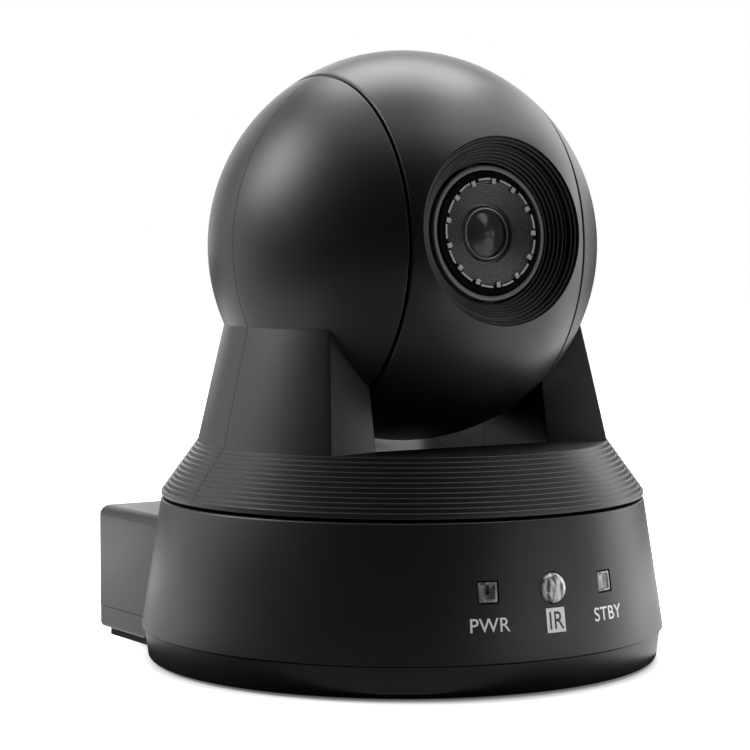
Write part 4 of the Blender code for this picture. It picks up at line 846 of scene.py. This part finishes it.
class PTZ_OT_yoke_shells(bpy.types.Operator):
    """Front and rear shell of the yoke: ribbed skirt, arms and ball caps"""
    bl_idname = "ptz.yoke_shells"
    bl_label = "Yoke shells"

    def execute(self, context):
        sizes, head = context.scene.ptz_yoke, context.scene.ptz_head
        form = yoke_outer()
        cut(form, yoke_hollow())
        reach = sizes.cap_face + 0.004
        cut(form, rod("axle_hole", HUB, -reach, reach,
                      place=along((1, 0, 0), (0, 0, head.axis_z))))
        for name, front, node in (("yoke_cover_front", -1, "yoke_front_shell"),
                                  ("yoke_cover_rear", 1, "yoke_rear_shell")):
            shell = half_of(form, name, (0, front * sizes.seam / 2, 0), (0, -front, 0))
            finish_piece(shell, name, "pan", FINISHES["abs"], [node], 14.0)
        remove(form)
        return {"FINISHED"}


# ---------------------------------------------------------------- head

def head_place():
    """Placement of the head at rest: origin in the ball's centre, tilted up."""
    head = bpy.context.scene.ptz_head
    return shift(0, 0, head.axis_z) @ Matrix.Rotation(-head.tilt, 4, "X")


def lens_place():
    """Placement along the lens axis: local Z points out of the lens."""
    return head_place() @ along((0, -1, 0))


def funnel_line():
    """Stepped line of the funnel from its floor out to the rim, as (radius, distance, corner)."""
    head = bpy.context.scene.ptz_head
    rim_d = math.sqrt(head.radius ** 2 - head.rim ** 2)
    steps = head.funnel_steps
    points = [(head.funnel, head.floor_d, 0.0)]
    pitch = (head.rim - head.funnel) / steps
    rise = (rim_d - head.funnel_d) / steps
    for step in range(steps):
        radius = head.funnel + pitch * step
        level = head.funnel_d + rise * step
        points.append((radius, level, 0.00010))
        points.append((radius + pitch * 0.55, level + rise * 0.10, 0.00010))
        points.append((radius + pitch * 0.62, level - rise * 0.20, 0.00004))
        points.append((radius + pitch * 0.98, level - rise * 0.20, 0.00004))
    points.append((head.rim, rim_d - 0.0002, 0.0002))
    points.append((head.rim + 0.0012, rim_d + 0.0010, 0.0))
    return points


class PTZ_OT_head_shells(bpy.types.Operator):
    """Front and rear shell of the ball head, with the stepped funnel round the lens"""
    bl_idname = "ptz.head_shells"
    bl_label = "Head shells"

    def execute(self, context):
        head = context.scene.ptz_head
        half, radius = head.half, head.radius
        inner, inner_half = radius - head.wall, half - head.wall
        outer_arc = arc(radius, math.asin(half / radius), -math.asin(half / radius), 64)
        inner_arc = arc(inner, -math.asin(inner_half / inner), math.asin(inner_half / inner), 24)
        outline = [(HUB, half, 0.0)]
        outline += [(x, y, 0.0006 if i in (0, 64) else 0.0) for i, (x, y) in enumerate(outer_arc)]
        outline += [(HUB, -half, 0.0), (HUB, -inner_half, 0.0)]
        outline += [(x, y, 0.0) for x, y in inner_arc] + [(HUB, inner_half, 0.0)]
        place = shift(0, 0, head.axis_z) @ along((1, 0, 0))
        ball = turned("ball", soften(outline, 4), ROUND_STEPS, place)
        tilt = head_place()
        for name, front, node in (("head_cover_front", -1, "head_front_shell"),
                                  ("head_cover_rear", 1, "head_rear_shell")):
            point = tilt @ Vector((0, head.split + front * 0.00012, 0))
            normal = (tilt.to_3x3() @ Vector((0, -front, 0)))
            shell = half_of(ball, name, point, normal)
            if front < 0:
                self.add_funnel(shell, head)
            else:
                self.add_screw_seats(shell, head)
            finish_piece(shell, name, "head", FINISHES["ball"], [node])
        remove(ball)
        return {"FINISHED"}

    def add_funnel(self, shell, head):
        """Close the front with a plug, then cut the stepped funnel into it."""
        line = funnel_line()
        floor = head.floor_d - 0.002
        edge = line[-2][1] - 0.0028
        tube = head.funnel + 0.0015
        join(shell, turned("plug", [
            (0.0, edge), (head.rim + 0.0012, edge), (tube, head.funnel_d - 0.002),
            (tube, floor), (0.0, floor)], ROUND_STEPS, lens_place()))
        hole = head.ring_bore + 0.0007
        wide, last_d = line[-1][0] + 0.01, line[-1][1]
        outline = [(0.0, 0.09, 0.0), (wide, 0.09, 0.0), (wide, last_d + 0.0083, 0.0)]
        outline += line[::-1]
        outline += [(hole, head.floor_d, 0.0), (hole, floor - 0.001, 0.0), (0.0, floor - 0.001, 0.0)]
        cut(shell, turned("funnel", soften(outline, 3), ROUND_STEPS, lens_place()))

    def add_screw_seats(self, shell, head):
        """Two bosses with deep seats for the head screws."""
        for side in (-1, 1):
            place = head_place() @ along((0, 1, 0), (side * 0.016, 0.0, -0.013))
            join(shell, rod("boss", 0.0048, 0.0303, head.radius - 0.006, 32, place=place))
            cut(shell, rod("seat", 0.0031, 0.0437, head.radius, 32, place=place))
            cut(shell, rod("hole", 0.0018, 0.029, head.radius, 24, place=place))


# Start and end in radians, inner and outer radius, and height above the lens face.
THIN_ARC = (0.080, 0.350, 0.01440, 0.01495, 0.00030)
SQUARE_TAB = (-0.046, 0.044, 0.01345, 0.01490, 0.00034)

# Steps of the front glass: share of its radius, and how far it lies below a smooth crown.
GLASS_STEPS = ((0.22, 0.00006), (0.28, 0.00026), (0.46, 0.00026), (0.50, 0.00044),
               (0.74, 0.00044), (0.78, 0.00062), (0.96, 0.00066))


class PTZ_OT_lens(bpy.types.Operator):
    """Grey ring, turned lens face with its grooves, castellated ring and front glass"""
    bl_idname = "ptz.lens"
    bl_label = "Lens"

    def execute(self, context):
        head = context.scene.ptz_head
        self.make_ring(head)
        self.make_face(head)
        self.make_castellations(head)
        self.make_glass(head)
        return {"FINISHED"}

    def make_ring(self, head):
        """Satin grey ring between the funnel and the lens face."""
        low = head.floor_d + CLEAR
        edge = 0.0005
        outline = soften([(head.ring_bore, head.ring_d, edge), (head.ring, head.ring_d, edge),
                          (head.ring, low, 0.0), (head.ring_bore, low, 0.0)])
        ring = turned("ring", outline, ROUND_STEPS, lens_place())
        finish_piece(ring, "lens_ring", "head", FINISHES["ring"], ["lens_trim_ring"])

    def make_face(self, head):
        """Front of the lens barrel: a black annulus round a dish of fine turned grooves."""
        outer = head.ring_bore - CLEAR
        face_d = head.ring_d + head.face_rise
        dish, back_d = 0.0141, 0.0378       # radius of the dish, and how deep the face goes
        annulus = turned("annulus", soften([
            (outer, 0.030, 0.0), (outer, face_d, 0.0002), (dish + 0.0001, face_d, 0.0001),
            (dish + 0.0001, back_d, 0.0), (outer - 0.0026, back_d, 0.0),
            (outer - 0.0026, 0.030, 0.0)], 2), ROUND_STEPS, lens_place())
        finish_piece(annulus, "lens_face", "head", FINISHES["baffle"],
                     ["lens_barrel"], 20.0)
        inner, count = 0.0083, 10           # bore of the dish, and its grooves
        sink, groove = 0.0013, 0.00042      # depth of the dish, and of each groove
        pitch = (dish - inner) / count
        outline = [(dish, back_d, 0.0), (dish, face_d + 0.0002, 0.0001)]
        for ridge in range(count):
            radius = dish - pitch * ridge
            depth = face_d - sink * ridge / count
            outline.append((radius - pitch * 0.35, depth, 0.00006))
            outline.append((radius - pitch * 0.48, depth - groove, 0.00003))
            outline.append((radius - pitch * 0.86, depth - groove, 0.00003))
        well = face_d - sink - 0.0016
        outline += [(inner, face_d - sink, 0.00015), (inner - 0.0001, well, 0.0001),
                    (inner - 0.0006, well, 0.0), (inner - 0.0006, back_d, 0.0)]
        grooves = turned("grooves", soften(outline, 2), ROUND_STEPS, lens_place())
        finish_piece(grooves, "lens_dish", "head", FINISHES["turned"], angle=20.0)
        seat = [(inner - 0.0007, well - 0.0012, 0.0), (inner - 0.0007, well + 0.0003, 0.0001),
                (inner - 0.0013, well + 0.0011, 0.0001), (inner - 0.0016, well + 0.0010, 0.0001),
                (inner - 0.0016, well - 0.0012, 0.0)]
        bezel = turned("bezel", soften(seat, 3), ROUND_STEPS, lens_place())
        finish_piece(bezel, "lens_bezel", "head", FINISHES["bezel"])

    def make_castellations(self, head):
        """Thin bright arcs and square tabs that alternate round the lens face."""
        work = bmesh.new()
        face_d = head.ring_d + head.face_rise
        for number in range(head.tabs):
            turn = 2 * math.pi * number / head.tabs
            for start, end, inner, outer, rise in (THIN_ARC, SQUARE_TAB):
                add_arc_bar(work, turn + start, turn + end, inner, outer, face_d - 0.0008,
                            face_d + rise)
        tabs = new_solid("tabs", work, lens_place())
        finish_piece(tabs, "lens_castellated_ring", "head", FINISHES["tabs"])

    def make_glass(self, head):
        """Front glass, slightly domed, with the faint steps of the elements behind it."""
        radius = head.glass
        top = head.ring_d + head.face_rise - 0.0012
        low = top - 0.0025
        crown = 0.0010
        outline = [(0.0, top)]
        outline += [(radius * share, top - drop - crown * share ** 2)
                    for share, drop in GLASS_STEPS]
        outline += [(radius, top - crown - 0.0006), (radius, low), (0.0, low)]
        glass = turned("glass", outline, ROUND_STEPS, lens_place())
        finish_piece(glass, "lens_front_glass", "head", FINISHES["glass"],
                     ["front_glass"], 60.0)


def add_arc_bar(work, start, end, inner, outer, low, high):
    """A short curved bar round Z, added to a bmesh."""
    steps = 8
    rows = []
    for i in range(steps + 1):
        angle = start + (end - start) * i / steps
        c, s = math.cos(angle), math.sin(angle)
        rows.append([work.verts.new((r * c, r * s, z)) for r, z in
                     ((inner, low), (outer, low), (outer, high), (inner, high))])
    for a, b in zip(rows, rows[1:]):
        for i in range(4):
            j = (i + 1) % 4
            work.faces.new((a[i], b[i], b[j], a[j]))
    work.faces.new(rows[0])
    work.faces.new(rows[-1][::-1])


# ---------------------------------------------------------------- indicators and print

class PTZ_OT_indicators(bpy.types.Operator):
    """Power and standby windows, the receiver's dome and the printed labels"""
    bl_idname = "ptz.indicators"
    bl_label = "Indicators"

    def execute(self, context):
        sizes = context.scene.ptz_base
        half = sizes.window / 2
        for name, side in (("power_window", -1), ("standby_window", 1)):
            place = on_cone(side * sizes.indicator_angle, sizes.indicator_z)
            window = block("window", (-half, -half, -0.0024), (half, half, -0.0002), 0.0003, place)
            well = half - 0.0007            # leaves a border round the window
            cut(window, block("well", (-well, -well, -0.0006), (well, well, 0.001), 0.0004, place))
            if side < 0:
                pit = 0.0005                # the lamp's lead shows as a dark slit
                cut(window, block("pit", (-pit, -0.0006, -0.0018), (pit, well, 0.0), 0.0003, place))
            finish_piece(window, name + "_lens", "base", FINISHES["frosted"], [name])
        radius, rise = sizes.receiver_radius, 0.0016
        dome = [(radius * math.cos(a), rise * math.sin(a)) for a in
                (math.radians(90.0 * i / 16) for i in range(16))]
        outline = [(0.0, rise)] + dome[::-1] + [(radius, -0.0024), (0.0, -0.0018)]
        lens = turned("dome", outline, SMALL_ROUND_STEPS * 2, on_cone(0.0, sizes.indicator_z))
        finish_piece(lens, "receiver_dome", "base", FINISHES["dome"],
                     ["receiver_window"])
        self.print_label("PWR", "label_power", -sizes.indicator_angle, 0.0036)
        self.print_label("STBY", "label_standby", sizes.indicator_angle, 0.0036)
        self.print_badge("IR", "label_receiver")
        return {"FINISHED"}

    def print_label(self, words, name, angle, height):
        """Pale lettering printed on the cone."""
        ink = lettering(words, height)
        wrap_on_cone(ink, angle)
        finish_piece(ink, name, "base", FINISHES["print"])

    def print_badge(self, words, name):
        """Pale square with its lettering left open, so that the cover shows through."""
        half_x, half_y = 0.0030, 0.0032
        badge = block("badge", (-half_x, -half_y, -0.0001), (half_x, half_y, 0.0001))
        letters = lettering(words, 0.0046)
        letters.data.transform(Matrix.Diagonal((0.85, 1.0, 40.0, 1.0)))
        cut(badge, letters)
        wrap_on_cone(badge, 0.0)
        finish_piece(badge, name, "base", FINISHES["print"])


def lettering(words, height):
    """Plain sans lettering as a thin closed solid, centred on the origin."""
    curve = bpy.data.curves.new("words", "FONT")
    curve.body = words
    curve.size = height / 0.7
    curve.align_x = "CENTER"
    curve.extrude = 0.00001
    curve.offset = 0.00004
    curve.space_character = 1.05
    text = bpy.data.objects.new("words", curve)
    bpy.context.scene.collection.objects.link(text)
    graph = bpy.context.evaluated_depsgraph_get()
    mesh = bpy.data.meshes.new_from_object(text.evaluated_get(graph))
    bpy.data.objects.remove(text, do_unlink=True)
    work = bmesh.new()
    work.from_mesh(mesh)
    bpy.data.meshes.remove(mesh)
    bmesh.ops.remove_doubles(work, verts=work.verts[:], dist=1e-7)
    return new_solid("words", work, shift(0.0, -height / 2, 0.0))


def wrap_on_cone(obj, angle):
    """Bend a flat print round the base cone at the labels' height."""
    sizes = bpy.context.scene.ptz_base
    lift = 0.00004                          # thickness of the ink
    for vertex in obj.data.vertices:
        x, y, z = vertex.co
        turn = angle + x / cone_radius(sizes.label_z)
        vertex.co = on_cone(turn, sizes.label_z + y, lift + z).translation


# ---------------------------------------------------------------- carried-over parts

PART_FINISHES = {
    "pc": ["rear_panel", "dc_jack", "serial_socket", "ir_receiver", "lens_tube", "image_sensor"],
    "powder": ["bottom_plate"],
    "zinc": ["lan_socket", "hdmi_socket", "usb_socket", "pan_bearing_outer",
             "pan_bearing_inner", "pan_motor", "pan_motor_shaft", "turntable_hub", "yoke_frame",
             "tilt_motor", "tilt_motor_shaft", "head_chassis", "tilt_axle_left",
             "tilt_axle_right"] + ["%s_screw_%d" % (kind, number) for kind, count in
                                   (("tray", 4), ("hub", 4), ("head", 2))
                                   for number in range(1, count + 1)],
    "brass": ["tripod_insert"],
    "rubber": ["foot_ring"],
    "board": ["main_board", "indicator_board", "sensor_board"],
    "acetal": ["pan_gear", "pan_pinion", "tilt_gear", "tilt_pinion", "tilt_bush_left",
               "tilt_bush_right"],
    "lamp": ["power_led", "standby_led"],
    "glass": ["zoom_group", "focus_group"],
}


class PTZ_OT_inner_parts(bpy.types.Operator):
    """Finishes for the parts that keep their own shape"""
    bl_idname = "ptz.inner_parts"
    bl_label = "Inner parts"

    def execute(self, context):
        for finish, nodes in PART_FINISHES.items():
            for node in nodes:
                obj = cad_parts[node]
                for slot in obj.material_slots:
                    slot.material = FINISHES[finish]
        return {"FINISHED"}


# ---------------------------------------------------------------- stage

# Name, size in metres, degrees to the right of the camera and above the table, and radiance.
# Nothing large shines from beside the camera, so what faces it stays nearly black.
SOFT_BOXES = (
    ("left_key", (0.50, 0.50), -93, 34, 9.0),
    ("left_low", (0.80, 0.50), -110, 4, 1.1),
    ("left_rear", (0.50, 0.60), -155, 16, 1.5),
    ("left_top", (0.55, 0.50), -100, 62, 1.4),
    ("top_rear", (0.80, 0.55), 180, 62, 6.8),
    ("rear_low", (0.80, 0.40), 172, 20, 1.8),
    ("right_top", (0.80, 0.60), 95, 60, 2.6),
    ("right_rear", (0.55, 0.60), 135, 28, 2.5),
    ("right_low", (0.60, 0.50), 118, 4, 2.6),
    ("right_front", (0.80, 0.45), 66, 6, 0.9),
    ("top_front", (0.90, 0.45), 5, 76, 1.3),
)

# White table top seen in the object: name, size, degrees to the right, distance and radiance.
TABLE_GLOW = (
    ("table_left", (0.50, 0.50), -115, 0.323, 1.1),
    ("table_right", (0.50, 0.50), 90, 0.323, 1.5),
    ("table_front", (0.60, 0.50), 0, 0.323, 0.28),
    ("table_rear", (0.80, 0.50), 180, 0.360, 1.1),
)


def heading(azimuth, elevation):
    """Direction at an angle to the right of the camera and above the table, in degrees."""
    turn = bpy.context.scene.ptz_studio.azimuth + math.radians(azimuth)
    rise = math.radians(elevation)
    return Vector((math.sin(turn) * math.cos(rise), -math.cos(turn) * math.cos(rise),
                   math.sin(rise)))


def add_light(name, size, radiance, place):
    """A soft box of even radiance that shines along its own -Z."""
    light = bpy.data.lights.new(name, "AREA")
    light.shape = "RECTANGLE"
    light.size, light.size_y = size
    light.energy = radiance * math.pi * size[0] * size[1]
    lamp = bpy.data.objects.new(name, light)
    bpy.context.scene.collection.objects.link(lamp)
    lamp.matrix_world = place
    lamp.visible_camera = False
    return lamp


class PTZ_OT_stage(bpy.types.Operator):
    """Pale floor that gives out its own white, with a painted shadow at the foot; soft boxes at the
    sides, above and behind; and the camera
    """
    bl_idname = "ptz.stage"
    bl_label = "Stage"

    def execute(self, context):
        scene, studio = context.scene, context.scene.ptz_studio
        self.make_floor()
        for name, size, azimuth, elevation, share in SOFT_BOXES:
            way = heading(azimuth, elevation)
            add_light(name, size, studio.power * share, along(way, Vector((0, 0, 0.09)) + way))
        for name, size, azimuth, distance, share in TABLE_GLOW:
            spot = heading(azimuth, 0) * distance + Vector((0, 0, 0.002))
            turn = Matrix.Rotation(studio.azimuth + math.radians(azimuth), 4, "Z")
            add_light(name, size, studio.power * share,
                      Matrix.Translation(spot) @ turn @ Matrix.Rotation(math.pi, 4, "X"))
        world = bpy.data.worlds.new("room")
        scene.world = world
        world.use_nodes = True
        tree = world.node_tree
        tree.nodes.clear()
        room = add_node(tree, "ShaderNodeBackground", {"Color": (*studio.room, 1.0)})
        white = add_node(tree, "ShaderNodeBackground", {"Color": (1.0, 1.0, 1.0, 1.0)})
        path = add_node(tree, "ShaderNodeLightPath")
        mix = add_node(tree, "ShaderNodeMixShader", None, {0: path.outputs["Is Camera Ray"]})
        tree.links.new(room.outputs[0], mix.inputs[1])
        tree.links.new(white.outputs[0], mix.inputs[2])
        add_node(tree, "ShaderNodeOutputWorld", None, {"Surface": mix.outputs[0]})
        self.make_camera(scene, studio)
        scene.view_settings.view_transform = "Standard"
        return {"FINISHED"}

    def make_floor(self):
        """A wide round table top that gives out its own white, with a painted shadow round the
        object's foot.
        """
        work = bmesh.new()
        bmesh.ops.create_circle(work, cap_ends=True, segments=96, radius=4.0)
        floor = new_solid("floor", work)
        material, tree, shader, place = new_material("table_top_white_laminate", {
            "Base Color": linear(bpy.context.scene.ptz_colours.floor), "Roughness": 0.6})
        shader.inputs["Emission Color"].default_value = (1.0, 1.0, 1.0, 1.0)
        away = add_node(tree, "ShaderNodeVectorMath", {"operation": "LENGTH"}, {0: place})
        # Painted shadow: the floor gives out no light up to 68 mm from the pan axis and full white
        # from 88 mm. This soft shadow at the foot is set by distance from the axis, not cast by the
        # lamps.
        floor_glow_and_painted_shadow = add_node(tree, "ShaderNodeMapRange", {"From Min": 0.068, "From Max": 0.088,
                                                     "To Min": 0.0, "To Max": 1.05},
                        {"Value": away.outputs["Value"]})
        tree.links.new(floor_glow_and_painted_shadow.outputs["Result"], shader.inputs["Emission Strength"])
        floor.data.materials.append(material)
        floor.visible_diffuse = False
        floor.visible_glossy = False

    def make_camera(self, scene, studio):
        """The camera, level, turned a little to its left and looking slightly down."""
        data = bpy.data.cameras.new("camera")
        data.sensor_width = 36.0
        data.lens = studio.focal
        data.clip_start = 0.01
        camera = bpy.data.objects.new("camera", data)
        scene.collection.objects.link(camera)
        camera.location = (math.sin(studio.azimuth) * studio.distance,
                           -math.cos(studio.azimuth) * studio.distance, studio.height)
        camera.rotation_euler = (math.pi / 2 - studio.dip, 0.0, studio.azimuth + studio.turn)
        scene.camera = camera


# ---------------------------------------------------------------- add-on

PIECE_OPERATORS = (PTZ_OT_base_housing, PTZ_OT_base_tray, PTZ_OT_yoke_shells, PTZ_OT_head_shells,
                   PTZ_OT_lens, PTZ_OT_indicators, PTZ_OT_inner_parts)


class PTZ_PT_panel(bpy.types.Panel):
    """Sidebar panel that lists the pieces"""
    bl_idname = "PTZ_PT_panel"
    bl_label = "PTZ camera"
    bl_space_type = "VIEW_3D"
    bl_region_type = "UI"
    bl_category = "PTZ camera"

    def draw(self, context):
        for operator in PIECE_OPERATORS + (PTZ_OT_stage,):
            self.layout.operator(operator.bl_idname)


SETTINGS = {"ptz_base": BaseSizes, "ptz_yoke": YokeSizes, "ptz_head": HeadSizes,
            "ptz_colours": FinishColours, "ptz_studio": StudioSettings}
CLASSES = tuple(SETTINGS.values()) + PIECE_OPERATORS + (PTZ_OT_stage, PTZ_PT_panel)


def register():
    """Register the classes and hang the settings on the scene."""
    for item in CLASSES:
        bpy.utils.register_class(item)
    for name, group in SETTINGS.items():
        setattr(bpy.types.Scene, name, PointerProperty(type=group))


def unregister():
    """Take the settings and the classes away again."""
    for name in SETTINGS:
        delattr(bpy.types.Scene, name)
    for item in reversed(CLASSES):
        bpy.utils.unregister_class(item)


def main():
    """Build every piece and the stage."""
    register()
    make_finishes()
    for operator in PIECE_OPERATORS + (PTZ_OT_stage,):
        group, name = operator.bl_idname.split(".")
        getattr(getattr(bpy.ops, group), name)()


if __name__ == "__main__":
    main()
